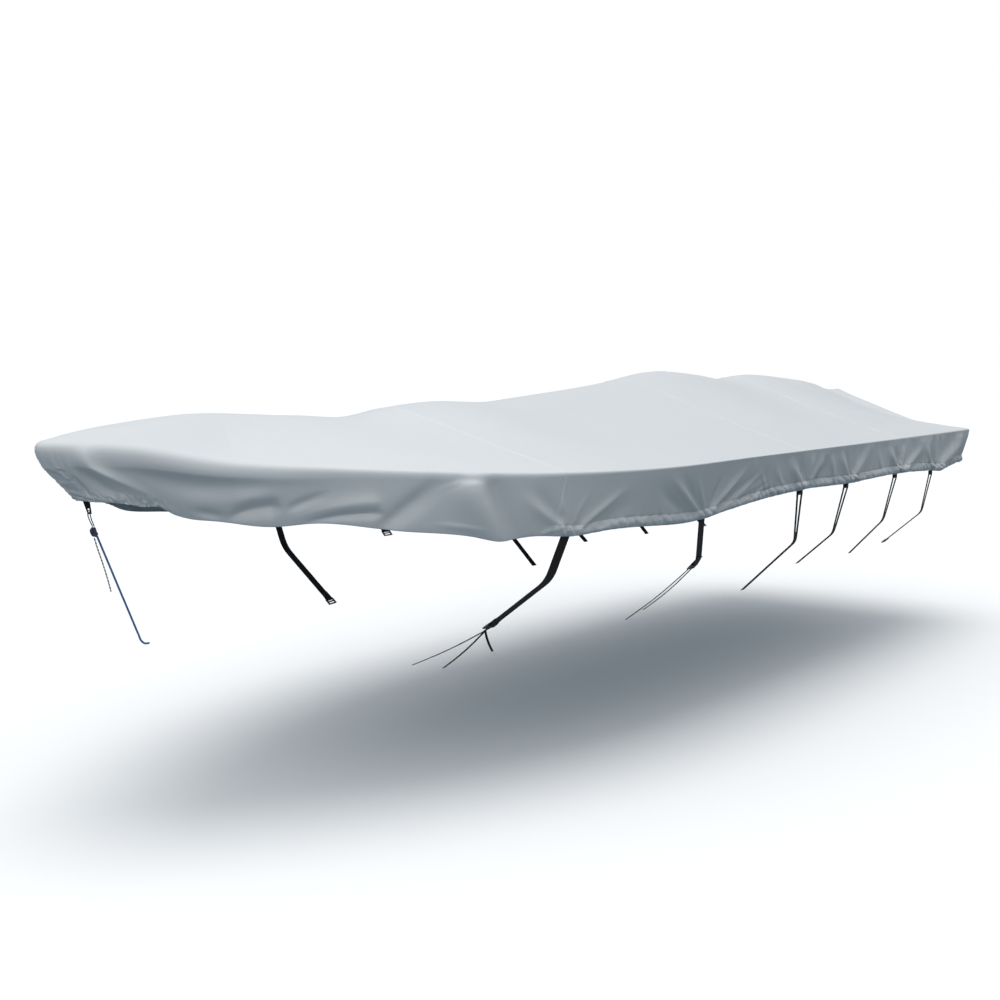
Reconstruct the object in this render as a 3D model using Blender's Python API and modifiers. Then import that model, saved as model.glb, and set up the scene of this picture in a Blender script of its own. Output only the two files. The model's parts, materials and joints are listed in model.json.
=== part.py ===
"""Fitted cover for a small open fishing boat, as it sits on the boat.

Four panels of coated polyester cloth are sewn across the boat, with a drawstring
hem. Webbing straps run from the hem down the hull's sides and under it. The boat
and its trailer are not part of the model, so the cover is hollow.

Frame: X runs aft, Y to starboard, Z up. The origin is on the centre line, amidships,
at the height of the hull's top edge there. All lengths are in metres.
"""
import math
from collections import namedtuple

import bmesh
import bpy
import numpy as np
from mathutils import Vector

# ---------------------------------------------------------------- driving sizes
BOAT_LENGTH = 4.90            # stem to transom along the hull's top edge
HALF_BEAM = 0.82              # half the greatest breadth
WIDEST_STATION = 2.06         # station of the greatest breadth, aft of the stem
TRANSOM_HALF = 0.72           # half the breadth at the transom
BOW_FULLNESS = 0.80           # below 1 rounds the bow in plan
RUN_AFT_POWER = 1.8           # how late the sides draw in towards the transom
CORNER_RADIUS = 0.035         # transom corners in plan
CLOTH = 0.002                 # thickness of the sheet
SEAM_STATIONS = (1.368, 2.844, 3.850)
SEAM_GAP = 0.0010             # panels stand this far apart
BOW_RIDGE_START = 0.30        # ridge station from which the bow ribs fan out
STERN_FAN_STATION = 4.42      # ribs aft of this fan out to the transom
STERN_RIDGE_END = 4.74        # last ridge station of that fan
ROOF_SAG = 0.011              # sag of the roof between ridge and edge, aft of the bow
QUARTER_HOLLOW = 0.040        # more sag towards each transom corner
QUARTER_REACH = 0.50          # how far along the edge that hollow reaches
STEM_SWELL = 0.025            # how far the cloth stands off the stem head
STEM_SWELL_REACH = 0.15
STEM_DRAW_REACH = 0.45        # up to here along the edge the skirt draws aft, then inward
HEM_TUCK = 0.006              # how far the drawstring draws the hem in
COLUMNS = {"bow": 27, "mid": 24, "aft": 18, "stern": 26}

# ---------------------------------------------------------------- short tables
# Height of the hull's top edge along the boat.
SHEER = {"station": (0.00, 0.15, 0.37, 0.65, 0.94, 1.30, 1.60, 2.50, 4.90),
         "height": (0.133, 0.120, 0.079, 0.053, 0.031, 0.010, 0.001, -0.002, -0.012)}

# Height of the cover's ridge, and how far it lies to starboard of the centre line.
RIDGE = {"station": (0.30, 0.47, 0.86, 1.22, 1.40, 1.57, 1.95, 2.21, 2.76, 3.14, 3.47, 3.72, 4.02,
                     4.35, 4.74),
         "height": (0.176, 0.197, 0.183, 0.169, 0.192, 0.203, 0.193, 0.209, 0.250, 0.291, 0.273,
                    0.248, 0.264, 0.247, 0.206)}
RIDGE_OFFSET = {"station": (0.30, 1.40, 2.80, 3.85, 4.74),
                "offset": (0.00, 0.02, 0.05, 0.09, 0.08)}

# Height of the edge across the transom, from its middle to its corner.
TRANSOM_EDGE = {"breadth": (0.00, 0.07, 0.194, 0.317, 0.442, 0.560, 0.720),
                "height": (0.180, 0.150, 0.104, 0.059, 0.018, 0.003, -0.012)}

# Depth of the skirt below the edge, port side as it hangs.
SKIRT_DROP = {"station": (0.00, 0.05, 0.10, 0.14, 0.17, 0.20, 0.25, 0.30, 0.36, 0.50, 0.62, 0.85,
                          1.06, 1.18, 1.28, 1.45, 1.60, 2.10, 2.27, 2.68, 2.90, 3.35, 3.80, 4.30,
                          4.50, 4.83),
              "drop": (0.157, 0.157, 0.160, 0.166, 0.162, 0.158, 0.172, 0.176, 0.173, 0.181, 0.167,
                       0.184, 0.197, 0.216, 0.203, 0.208, 0.196, 0.203, 0.188, 0.162, 0.158, 0.164,
                       0.158, 0.174, 0.187, 0.168)}
STBD_DROP = {"station": (0.00, 0.14, 0.50, 1.10, 1.50, 2.20, 2.90, 3.80, 4.50, 4.83),
             "drop": (0.157, 0.164, 0.176, 0.204, 0.200, 0.192, 0.162, 0.160, 0.180, 0.168)}
TRANSOM_HEM_MIDDLE = -0.135   # height of the hem at the middle of the transom

# How far the skirt leans in for each metre it drops.
SKIRT_LEAN = {"station": (0.00, 0.03, 0.07, 0.15, 0.22, 0.31, 0.39, 0.60, 1.00, 1.50, 2.20, 3.00,
                          4.50, 4.83, 5.60),
              "lean": (1.01, 0.93, 0.85, 0.78, 0.72, 0.68, 0.66, 0.62, 0.42, 0.28, 0.20, 0.15,
                       0.10, 0.22, 0.18)}

# Radius of the bend from roof to skirt: soft over the bow, crisp aft.
EDGE_RADIUS = {"station": (0.00, 0.50, 1.20, 1.60, 4.90),
               "radius": (0.052, 0.042, 0.022, 0.012, 0.012)}

# One row a fold of the skirt: a soft ridge (height above 0) or trough (below 0)
# between two places, each given by its station and its drop below the edge.
Fold = namedtuple("Fold", "start_station start_drop end_station end_drop half_width height")
PORT_FOLDS = (
    Fold(0.060, 0.030, 0.250, 0.088, 0.034, -0.011),   # valley under the bow's shoulder
    Fold(0.250, 0.088, 0.440, 0.140, 0.030, -0.009),
    Fold(0.260, 0.110, 0.500, 0.066, 0.032, 0.011),    # broad swelling
    Fold(0.435, 0.120, 0.550, 0.124, 0.026, -0.013),   # pocket above the hem
    Fold(0.470, 0.165, 0.540, 0.160, 0.022, 0.006),
    Fold(0.553, 0.128, 0.640, 0.070, 0.026, -0.008),
    Fold(0.600, 0.105, 0.760, 0.060, 0.034, 0.011),    # swelling above the long crease
    Fold(0.603, 0.156, 0.800, 0.106, 0.024, -0.012),   # long crease
    Fold(0.815, 0.150, 0.915, 0.030, 0.034, -0.012),
    Fold(1.000, 0.020, 1.060, 0.180, 0.050, 0.016),    # upright swelling
    Fold(1.150, 0.020, 1.185, 0.170, 0.042, -0.010),   # shaded trough to the lowest point
    Fold(1.225, 0.050, 1.395, 0.165, 0.036, 0.010),    # fold running down to strap 1
    Fold(1.470, 0.160, 1.520, 0.040, 0.034, -0.007),
    Fold(1.545, 0.130, 1.670, 0.020, 0.036, 0.009),
    Fold(1.700, 0.060, 1.760, 0.160, 0.040, -0.006),
    Fold(1.830, 0.015, 2.060, 0.160, 0.036, 0.010),    # fold running down to strap 2
    Fold(1.960, 0.020, 2.110, 0.120, 0.034, -0.006),
    Fold(2.175, 0.165, 2.420, 0.020, 0.038, 0.011),    # and back up from it
    Fold(2.360, 0.130, 2.560, 0.040, 0.040, -0.006),
    Fold(2.640, 0.030, 2.840, 0.130, 0.036, 0.007),
    Fold(2.940, 0.130, 3.060, 0.020, 0.034, 0.007),
    Fold(3.130, 0.030, 3.280, 0.130, 0.034, 0.008),
    Fold(3.390, 0.130, 3.520, 0.025, 0.036, -0.006),
    Fold(3.620, 0.030, 3.800, 0.130, 0.036, 0.008),
    Fold(3.936, 0.138, 4.224, 0.029, 0.036, 0.009),
    Fold(4.180, 0.030, 4.320, 0.150, 0.034, -0.006),
    Fold(4.441, 0.156, 4.759, 0.026, 0.038, 0.010),
)
STBD_FOLDS = (
    Fold(0.100, 0.060, 0.420, 0.120, 0.034, -0.010),
    Fold(0.300, 0.100, 0.640, 0.060, 0.036, 0.010),
    Fold(0.620, 0.130, 0.820, 0.070, 0.034, -0.009),
    Fold(0.880, 0.030, 1.000, 0.160, 0.044, 0.012),
    Fold(1.120, 0.030, 1.380, 0.150, 0.038, 0.009),
    Fold(1.520, 0.140, 1.720, 0.030, 0.038, 0.009),
    Fold(1.860, 0.030, 2.060, 0.150, 0.038, 0.009),
    Fold(2.200, 0.150, 2.460, 0.030, 0.038, 0.009),
    Fold(2.640, 0.030, 2.820, 0.120, 0.036, 0.007),
    Fold(2.960, 0.120, 3.160, 0.030, 0.036, 0.007),
    Fold(3.400, 0.120, 3.620, 0.030, 0.036, 0.007),
    Fold(3.960, 0.130, 4.220, 0.030, 0.036, 0.008),
    Fold(4.460, 0.150, 4.740, 0.030, 0.038, 0.009),
)
# Folds across the transom, placed by their distance from the middle.
TRANSOM_FOLDS = (
    Fold(0.58, 0.030, 0.66, 0.130, 0.040, 0.008),
    Fold(0.36, 0.060, 0.46, 0.170, 0.046, -0.008),
    Fold(0.14, 0.080, 0.22, 0.230, 0.050, 0.009),
)

# Rows of points from ridge to hem, as shares of each stretch.
ROOF_ROWS = (0.0, 0.11, 0.25, 0.40, 0.56, 0.72, 0.87, 1.0)
BEND_ROWS = (0.5,)
SKIRT_ROWS = (0.0, 0.2, 0.4, 0.6, 0.8, 1.0)

# ---------------------------------------------------------------- straps
STRAP_THICKNESS = 0.002
WIDE_STRAP = 0.038            # straps 1 and 2
LEG_WIDTH = 0.015             # each leg of the doubled straps 3 to 6
LEG_SPREAD = 0.040            # between the legs' middles at the hem
JOINED_WIDTH = 0.030          # the doubled strap where its legs lie side by side
THIN_LEG = 0.009              # webbing of the loose legs under straps 1 and 2
TUCKED_BEHIND_HEM = 0.030     # length of straps 1 and 2 hidden behind the skirt
HEM_LOOP_WIDTH = 0.019
HEM_LOOP_THICKNESS = 0.0015
HEM_LOOP_DEPTH = 0.019        # how far a loop shows below the hem
HEM_LOOP_GAP = 0.0056         # between its two layers
CLEARANCE = 0.0024            # between the hem's inner face and what lies behind it
LOOP_PLAY = 0.0025            # the strap's turn lies this far above its hem loop's foot
LOOP_TAIL = 0.006             # the hem loop's inner end lies this much lower than its outer
LEG_SHARES = (0.08, 0.30, 0.55, 0.80)   # places down the doubled straps' open legs
JOINED_SLOT = 0.002           # between the legs where they lie side by side
CHINE_RADIUS = 0.035
BUCKLE = {"width": 0.048, "length": 0.026, "thickness": 0.005, "bar": 0.006}
BUCKLED_STRAPS = (1, 2, 6)
BUCKLE_GAP = 0.0005           # between a strap's end and its buckle
LEG_GAP = 0.0003              # between a buckle's foot and its loose legs

# One row a strap: its station, the chine it turns round, and where it ends, on the
# port side. "doubled" straps pass through a hem loop and come back.
Strap = namedtuple("Strap", "station chine_y chine_z end_y end_z doubled")
STRAPS = (
    Strap(1.434, -0.611, -0.348, -0.382, -0.518, False),
    Strap(2.126, -0.757, -0.350, -0.742, -0.366, False),
    Strap(2.880, -0.755, -0.368, -0.526, -0.585, True),
    Strap(3.323, -0.711, -0.383, -0.549, -0.526, True),
    Strap(3.861, -0.704, -0.379, -0.546, -0.544, True),
    Strap(4.355, -0.687, -0.389, -0.520, -0.533, True),
)

# One row a loose leg, port side only: the strap it hangs from, its place across the
# buckle, and its end.
Leg = namedtuple("Leg", "strap across end_x end_y end_z")
LEGS = (
    Leg(1, -0.014, -0.010, -0.399, -0.604),
    Leg(1, 0.000, -0.020, -0.182, -0.692),
    Leg(1, 0.014, -0.012, -0.022, -0.708),
    Leg(2, -0.012, -0.030, -0.482, -0.591),
    Leg(2, 0.012, 0.012, -0.516, -0.560),
)

# ---------------------------------------------------------------- bow tie
BOW_LOOP = {"top_width": 0.022, "bottom_width": 0.012, "length": 0.042, "thickness": 0.003,
            "slot": 0.006, "rake": 0.0115}
BOW_LOOP_ROWS = (0.0, 0.35, 0.62, 0.74, 0.86, 1.0)
THREAD_SHARE = 0.78           # how far down the loop the cord passes through it
THREAD_HALF = 0.0045          # half the width of the cord's turn through the loop
BIGHT_DROP = 0.010            # how far below that turn the cord's two runs draw together
KNOT_ENTRY = 0.004            # the two runs meet the knot this far from its middle
CORD_RADIUS = 0.0015
ROPE_RADIUS = 0.003
TAIL_RADIUS = 0.002
KNOT_RADII = (0.0125, 0.0125, 0.0155)
BOW_LOOP_TOP = (-2.3140, 0.0, -0.0190)
KNOT_CENTRE = (-2.2905, 0.0, -0.1115)
ROPE_ROUTE = ((-2.2814, 0.0, -0.1240), (-2.250, 0.0005, -0.195), (-2.215, 0.001, -0.275),
              (-2.180, 0.0008, -0.355), (-2.152, 0.0, -0.420), (-2.1455, -0.002, -0.437),
              (-2.137, -0.008, -0.446), (-2.128, -0.016, -0.445))
TAIL_ROUTE = ((-2.2907, 0.0, -0.1276), (-2.281, -0.001, -0.160), (-2.267, -0.0015, -0.200),
              (-2.253, -0.001, -0.243), (-2.241, 0.0, -0.283))

Colour = namedtuple("Colour", "red green blue roughness")
CLOTH_GREY = Colour(0.60, 0.63, 0.65, 0.82)
WEBBING_BLACK = Colour(0.018, 0.019, 0.022, 0.75)
BUCKLE_BLACK = Colour(0.012, 0.012, 0.013, 0.45)
CORD_DARK = Colour(0.030, 0.032, 0.045, 0.80)
ROPE_BLUE = Colour(0.055, 0.150, 0.360, 0.70)
TAIL_GREY = Colour(0.120, 0.125, 0.150, 0.80)


# ---------------------------------------------------------------- curves
def smooth_read(table, column, where, key="station"):
    """Read a short table with a smooth curve through its rows."""
    xs = np.array(table[key], float)
    ys = np.array(table[column], float)
    slopes = np.gradient(ys, xs)
    where = np.clip(where, xs[0], xs[-1])
    cell = np.clip(np.searchsorted(xs, where) - 1, 0, len(xs) - 2)
    width = xs[cell + 1] - xs[cell]
    t = (where - xs[cell]) / width
    start = (1 + 2 * t) * (1 - t) ** 2 * ys[cell] + t * (1 - t) ** 2 * width * slopes[cell]
    end = t * t * (3 - 2 * t) * ys[cell + 1] - t * t * (1 - t) * width * slopes[cell + 1]
    return start + end


def half_breadth(station):
    """Half the hull's breadth at its top edge."""
    station = np.asarray(station, float)
    forward = np.clip(station / WIDEST_STATION, 0, 1)
    aft = np.clip((station - WIDEST_STATION) / (BOAT_LENGTH - WIDEST_STATION), 0, 1)
    bow = HALF_BEAM * np.sin(math.pi / 2 * forward) ** BOW_FULLNESS
    run = HALF_BEAM - (HALF_BEAM - TRANSOM_HALF) * aft ** RUN_AFT_POWER
    return np.where(station <= WIDEST_STATION, bow, run)


def plan_outline():
    """Dense half outline of the top edge: stem, side, rounded corner, transom middle."""
    corner_start = BOAT_LENGTH - CORNER_RADIUS
    side = corner_start * np.linspace(0, 1, 1200) ** 2
    breadth = half_breadth(side)
    turn = np.linspace(0, math.pi / 2, 24)[1:]
    corner_x = corner_start + CORNER_RADIUS * np.sin(turn)
    corner_y = breadth[-1] - CORNER_RADIUS * (1 - np.cos(turn))
    across = np.linspace(corner_y[-1], 0, 60)[1:]
    station = np.concatenate([side, corner_x, np.full(len(across), BOAT_LENGTH)])
    breadth = np.concatenate([breadth, corner_y, across])
    steps = np.hypot(np.diff(station), np.diff(breadth))
    return station, breadth, np.concatenate([[0], np.cumsum(steps)])


OUTLINE_STATION, OUTLINE_BREADTH, OUTLINE_ARC = plan_outline()
ARC_END = OUTLINE_ARC[-1]
SIDE_POINTS = 1200
ARC_CORNER = OUTLINE_ARC[SIDE_POINTS - 1]


def arc_at(station):
    """Length along the edge from the stem to a station on the side."""
    return float(np.interp(station, OUTLINE_STATION[:SIDE_POINTS], OUTLINE_ARC[:SIDE_POINTS]))


ARC_SEAMS = [arc_at(station) for station in SEAM_STATIONS]
ARC_STERN_FAN = arc_at(STERN_FAN_STATION)


def edge_place(arc):
    """Station, half breadth and outward plan normal of the edge at a length along it."""
    station = np.interp(arc, OUTLINE_ARC, OUTLINE_STATION)
    breadth = np.interp(arc, OUTLINE_ARC, OUTLINE_BREADTH)
    step = 0.012
    lo, hi = arc - step, min(arc + step, ARC_END)
    side_of_lo = 1 if lo > 0 else -1
    along_x = np.interp(hi, OUTLINE_ARC, OUTLINE_STATION)
    along_x -= np.interp(abs(lo), OUTLINE_ARC, OUTLINE_STATION)
    along_y = np.interp(hi, OUTLINE_ARC, OUTLINE_BREADTH)
    along_y -= np.interp(abs(lo), OUTLINE_ARC, OUTLINE_BREADTH) * side_of_lo
    size = math.hypot(along_x, along_y)
    return float(station), float(breadth), (-along_y / size, along_x / size)


def edge_height(arc, station, breadth):
    """Height of the roof's edge: the sheer along the side, the crown across the transom."""
    if arc <= ARC_CORNER:
        return float(smooth_read(SHEER, "height", station))
    return float(smooth_read(TRANSOM_EDGE, "height", breadth, key="breadth"))


def ridge_station(arc, station):
    """Where on the ridge the rib through this place of the edge starts."""
    first_seam = SEAM_STATIONS[0]
    if station < first_seam and arc < ARC_CORNER:
        return BOW_RIDGE_START + station * (first_seam - BOW_RIDGE_START) / first_seam
    if arc <= ARC_STERN_FAN:
        return station
    share = (arc - ARC_STERN_FAN) / (ARC_END - ARC_STERN_FAN)
    return STERN_FAN_STATION + share * (STERN_RIDGE_END - STERN_FAN_STATION)


def skirt_drop(arc, station, breadth, height, side):
    """Depth of the skirt from the edge down to the hem."""
    table = SKIRT_DROP if side < 0 else STBD_DROP
    if arc <= ARC_CORNER:
        return float(smooth_read(table, "drop", station))
    corner_hem = float(smooth_read(SHEER, "height", BOAT_LENGTH)) - table["drop"][-1]
    share = 1 - (breadth / TRANSOM_HALF) ** 2
    return height - (corner_hem + share * (TRANSOM_HEM_MIDDLE - corner_hem))


def fold_relief(arc, drop, folds, place=arc_at):
    """Sum of the folds' heights at a place on the skirt."""
    total = 0.0
    for fold in folds:
        x0, x1 = place(fold.start_station), place(fold.end_station)
        dx, dy = x1 - x0, fold.end_drop - fold.start_drop
        t = ((arc - x0) * dx + (drop - fold.start_drop) * dy) / (dx * dx + dy * dy)
        t = min(max(t, 0.0), 1.0)
        away = math.hypot(arc - x0 - t * dx, drop - fold.start_drop - t * dy)
        total += fold.height * math.exp(-(away / fold.half_width) ** 2)
    return total


def skirt_relief(arc, breadth, drop, side):
    """How far the skirt swells out (or dips in) at a place, fading out at the edge."""
    if arc <= ARC_CORNER + CORNER_RADIUS:
        relief = fold_relief(arc, drop, PORT_FOLDS if side < 0 else STBD_FOLDS)
        relief *= min(arc / 0.06, 1.0)
    else:
        relief = fold_relief(breadth, drop, TRANSOM_FOLDS, place=float)
        relief *= min(breadth / 0.05, 1.0)
    fade = min(max((drop - 0.004) / 0.035, 0.0), 1.0)
    return relief * fade * fade * (3 - 2 * fade)


class Rib:
    """One line of the cover's surface, from its ridge over the edge to its hem."""

    def __init__(self, arc, side):
        self.arc, self.side = arc, side
        self.station, self.breadth, normal = edge_place(arc)
        self.normal = Vector((normal[0], normal[1] * side, 0))
        self.height = edge_height(arc, self.station, self.breadth)
        self.drop = skirt_drop(arc, self.station, self.breadth, self.height, side)
        lean_at = self.station if arc <= ARC_CORNER else BOAT_LENGTH + (arc - ARC_CORNER)
        self.lean = float(smooth_read(SKIRT_LEAN, "lean", lean_at))
        self.radius = float(smooth_read(EDGE_RADIUS, "radius", self.station))
        ridge_at = ridge_station(arc, self.station)
        offset = float(smooth_read(RIDGE_OFFSET, "offset", ridge_at))
        top = float(smooth_read(RIDGE, "height", ridge_at))
        self.ridge = Vector((ridge_at - BOAT_LENGTH / 2, offset, top))
        self.edge = Vector((self.station - BOAT_LENGTH / 2, self.breadth * side, self.height))
        self.edge += self.normal * STEM_SWELL * math.exp(-(arc / STEM_SWELL_REACH) ** 2)
        turn = min(arc / STEM_DRAW_REACH, 1.0)
        turn *= turn * (3 - 2 * turn)
        self.inward = (Vector((1 - turn, 0, 0)) - self.normal * turn).normalized()

    def roof_point(self, share):
        """Point of the roof; share runs from 0 at the ridge to 1 at the edge."""
        up = 1 - share
        straight = (10 * up - up ** 10) / 9
        rounded = 1 - (1 - up) ** 2.6
        mix = max(1 - self.station / 0.40, 0.0) if self.arc < ARC_CORNER else 0.0
        rise = (1 - mix) * straight + mix * rounded
        sag = ROOF_SAG * min(max((self.station - 1.2) / 0.8, 0.0), 1.0)
        sag += QUARTER_HOLLOW * math.exp(-((self.arc - ARC_CORNER) / QUARTER_REACH) ** 2)
        point = self.ridge.lerp(self.edge, share)
        point.z = self.edge.z + (self.ridge.z - self.edge.z) * rise
        point.z -= sag * math.sin(math.pi * up) * (1 - up ** 6)
        return point

    def skirt_point(self, drop):
        """Point of the skirt's outer face at a depth below the edge."""
        inward = self.lean * max(drop - 0.4 * self.radius, 0.0)
        inward += HEM_TUCK * (max(drop, 0) / self.drop) ** 6
        relief = skirt_relief(self.arc, self.breadth, drop, self.side)
        return self.edge + self.normal * relief + self.inward * inward - Vector((0, 0, drop))

    def points(self):
        """All points from ridge to hem."""
        span = (self.edge - self.ridge).xy.length
        bend_start = 1 - self.radius / span
        roof = [self.roof_point(share * bend_start) for share in ROOF_ROWS]
        skirt = [self.skirt_point(self.radius + share * (self.drop - self.radius))
                 for share in SKIRT_ROWS]
        corner = self.edge + (self.normal + Vector((0, 0, 1))) * (0.22 * self.radius)
        bend = []
        for t in BEND_ROWS:
            bend.append(roof[-1] * (1 - t) ** 2 + corner * (2 * t * (1 - t)) + skirt[0] * t * t)
        return roof + bend + skirt


# ---------------------------------------------------------------- building blocks
def clear_scene():
    for thing in list(bpy.data.objects):
        bpy.data.objects.remove(thing, do_unlink=True)


def make_material(name, colour, metallic=0.0):
    material = bpy.data.materials.new(name)
    material.use_nodes = True
    shader = material.node_tree.nodes["Principled BSDF"]
    shader.inputs["Base Color"].default_value = (colour.red, colour.green, colour.blue, 1)
    shader.inputs["Roughness"].default_value = colour.roughness
    shader.inputs["Metallic"].default_value = metallic
    return material


def add_mesh_object(name, mesh, material, collection):
    thing = bpy.data.objects.new(name, mesh)
    thing.data.materials.append(material)
    collection.objects.link(thing)
    return thing


def add_solidify(thing, thickness, offset):
    shell = thing.modifiers.new("thickness", "SOLIDIFY")
    shell.thickness = thickness
    shell.offset = offset
    shell.use_even_offset = True
    shell.use_rim = True
    return shell


def sheet_mesh(name, strips):
    """Mesh of quads between neighbouring ribs; strips are lists of ribs' point lists."""
    shape = bmesh.new()
    for ribs in strips:
        grid = [[shape.verts.new(point) for point in points] for points in ribs]
        for left, right in zip(grid, grid[1:]):
            for row in range(len(left) - 1):
                shape.faces.new((left[row], left[row + 1], right[row + 1], right[row]))
    bmesh.ops.remove_doubles(shape, verts=shape.verts, dist=0.00001)
    bmesh.ops.recalc_face_normals(shape, faces=shape.faces)
    mesh = bpy.data.meshes.new(name)
    shape.to_mesh(mesh)
    shape.free()
    return mesh


def face_up(mesh):
    """Turn the sheet over if its faces look down into the boat."""
    up = sum(face.normal.z * face.area for face in mesh.polygons)
    if up < 0:
        mesh.flip_normals()


def build_panel(name, first_arc, last_arc, columns, material, collection):
    """A panel across the boat, between two lengths along the edge."""
    strips = []
    for side in (-1, 1):
        arcs = np.linspace(first_arc, last_arc, columns + 1)
        strips.append([Rib(float(arc), side).points() for arc in arcs])
    mesh = sheet_mesh(name, strips)
    face_up(mesh)
    for face in mesh.polygons:
        face.use_smooth = True
    thing = add_mesh_object(name, mesh, material, collection)
    add_solidify(thing, CLOTH, -1)
    return thing


def build_panels(material, collection):
    half = SEAM_GAP / 2
    bounds = [0.0] + ARC_SEAMS + [ARC_END]
    for index, part in enumerate(("bow", "mid", "aft", "stern")):
        first = bounds[index] + (half if index else 0.0)
        last = bounds[index + 1] - (half if index < 3 else 0.0)
        build_panel("panel_" + part, first, last, COLUMNS[part], material, collection)


def rounded_route(points, radius, steps=3):
    """The same route with its inner corners rounded."""
    route = [Vector(points[0])]
    for before, corner, after in zip(points, points[1:], points[2:]):
        before, corner, after = Vector(before), Vector(corner), Vector(after)
        reach = min(radius, (before - corner).length / 2, (after - corner).length / 2)
        start = corner + (before - corner).normalized() * reach
        end = corner + (after - corner).normalized() * reach
        for step in range(steps + 1):
            t = step / steps
            route.append(start * (1 - t) ** 2 + corner * (2 * t * (1 - t)) + end * t * t)
    route.append(Vector(points[-1]))
    return route


def ribbon(name, rows, thickness, material, collection, open_rows=()):
    """A flat strip. rows are lists of points across it; open_rows leave a slot."""
    shape = bmesh.new()
    grid = [[shape.verts.new(point) for point in row] for row in rows]
    for index, (upper, lower) in enumerate(zip(grid, grid[1:])):
        for column in range(len(upper) - 1):
            if index in open_rows and column == 1:
                continue
            shape.faces.new((upper[column], upper[column + 1], lower[column + 1], lower[column]))
    mesh = bpy.data.meshes.new(name)
    shape.to_mesh(mesh)
    shape.free()
    thing = add_mesh_object(name, mesh, material, collection)
    add_solidify(thing, thickness, 0)
    return thing


def tube(name, route, radius, material, collection, resolution=2):
    """A round cord along a route, its ends closed."""
    curve = bpy.data.curves.new(name, "CURVE")
    curve.dimensions = "3D"
    curve.bevel_depth = radius
    curve.bevel_resolution = resolution
    curve.use_fill_caps = True
    line = curve.splines.new("POLY")
    line.points.add(len(route) - 1)
    for point, place in zip(line.points, route):
        point.co = (*place, 1)
    return add_mesh_object(name, curve, material, collection)


def smooth_route(points, spacing):
    """Points at even spacing along a smooth curve through the route's own points."""
    places = np.array(points, float)
    steps = np.linalg.norm(np.diff(places, axis=0), axis=1)
    length = np.concatenate([[0], np.cumsum(steps)])
    count = max(int(round(length[-1] / spacing)), 2)
    at = np.linspace(0, length[-1], count + 1)
    columns = []
    for axis in range(3):
        table = {"length": length, "value": places[:, axis]}
        columns.append(smooth_read(table, "value", at, key="length"))
    return [Vector(place) for place in np.stack(columns, axis=1)]


# ---------------------------------------------------------------- straps
def mirrored(point, side):
    """A port-side point, or the same point on the starboard side."""
    return Vector((point[0], point[1] if side < 0 else -point[1], point[2]))


def strap_places(strap, side, depth):
    """Points behind the hem and above it, a depth inside the skirt's inner face."""
    rib = Rib(arc_at(strap.station), side)
    x = strap.station - BOAT_LENGTH / 2
    places = []
    for drop in (rib.drop, rib.drop - TUCKED_BEHIND_HEM):
        point = rib.skirt_point(drop) - rib.normal * (CLOTH + CLEARANCE + depth)
        across = strap_across(strap, side)
        places.append(point + across * ((x - point.x) / across.x))
    return places


def strap_across(strap, side):
    """Direction of a strap's width: along the hull's side in plan."""
    normal = Rib(arc_at(strap.station), side).normal
    across = Vector((normal.y, -normal.x, 0))
    return across if across.x > 0 else -across


def strap_route(strap, side):
    """Middle line of a strap, from the hem round the chine to its end."""
    x = strap.station - BOAT_LENGTH / 2
    if strap.doubled:
        depth = HEM_LOOP_THICKNESS + HEM_LOOP_GAP / 2
        start = strap_places(strap, side, depth)[:1]
    else:
        hem, above = strap_places(strap, side, STRAP_THICKNESS / 2)
        start = [above, hem]
    chine = mirrored((x, strap.chine_y, strap.chine_z), side)
    end = mirrored((x, strap.end_y, strap.end_z), side)
    return start, chine, end


def build_strap(number, strap, side, material, collection):
    name = "strap_%s_%d" % ("port" if side < 0 else "stbd", number)
    start, chine, end = strap_route(strap, side)
    across = strap_across(strap, side)
    if not strap.doubled:
        route = rounded_route(start + [chine, end], CHINE_RADIUS)
        rows = [[point - across * WIDE_STRAP / 2, point + across * WIDE_STRAP / 2]
                for point in route]
        ribbon(name, rows, STRAP_THICKNESS, material, collection)
        return
    top = start[0]
    turn_foot = top - Vector((0, 0, HEM_LOOP_DEPTH - LOOP_PLAY))
    leg_rows = [top, turn_foot]
    leg_rows += [turn_foot.lerp(chine, share) for share in LEG_SHARES]
    route = leg_rows + rounded_route([leg_rows[-1], chine, end], CHINE_RADIUS)[1:]
    rows = []
    slot_share = len(leg_rows) - 1
    for index, point in enumerate(route):
        share = min(max(index - 1, 0) / slot_share, 1.0)
        inner = (LEG_SPREAD - LEG_WIDTH) / 2 * (1 - share) + JOINED_SLOT / 2 * share
        outer = (LEG_SPREAD + LEG_WIDTH) / 2 * (1 - share) + JOINED_WIDTH / 2 * share
        rows.append([point - across * outer, point - across * inner,
                     point + across * inner, point + across * outer])
    ribbon(name, rows, STRAP_THICKNESS, material, collection,
           open_rows=range(1, slot_share))


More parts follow.
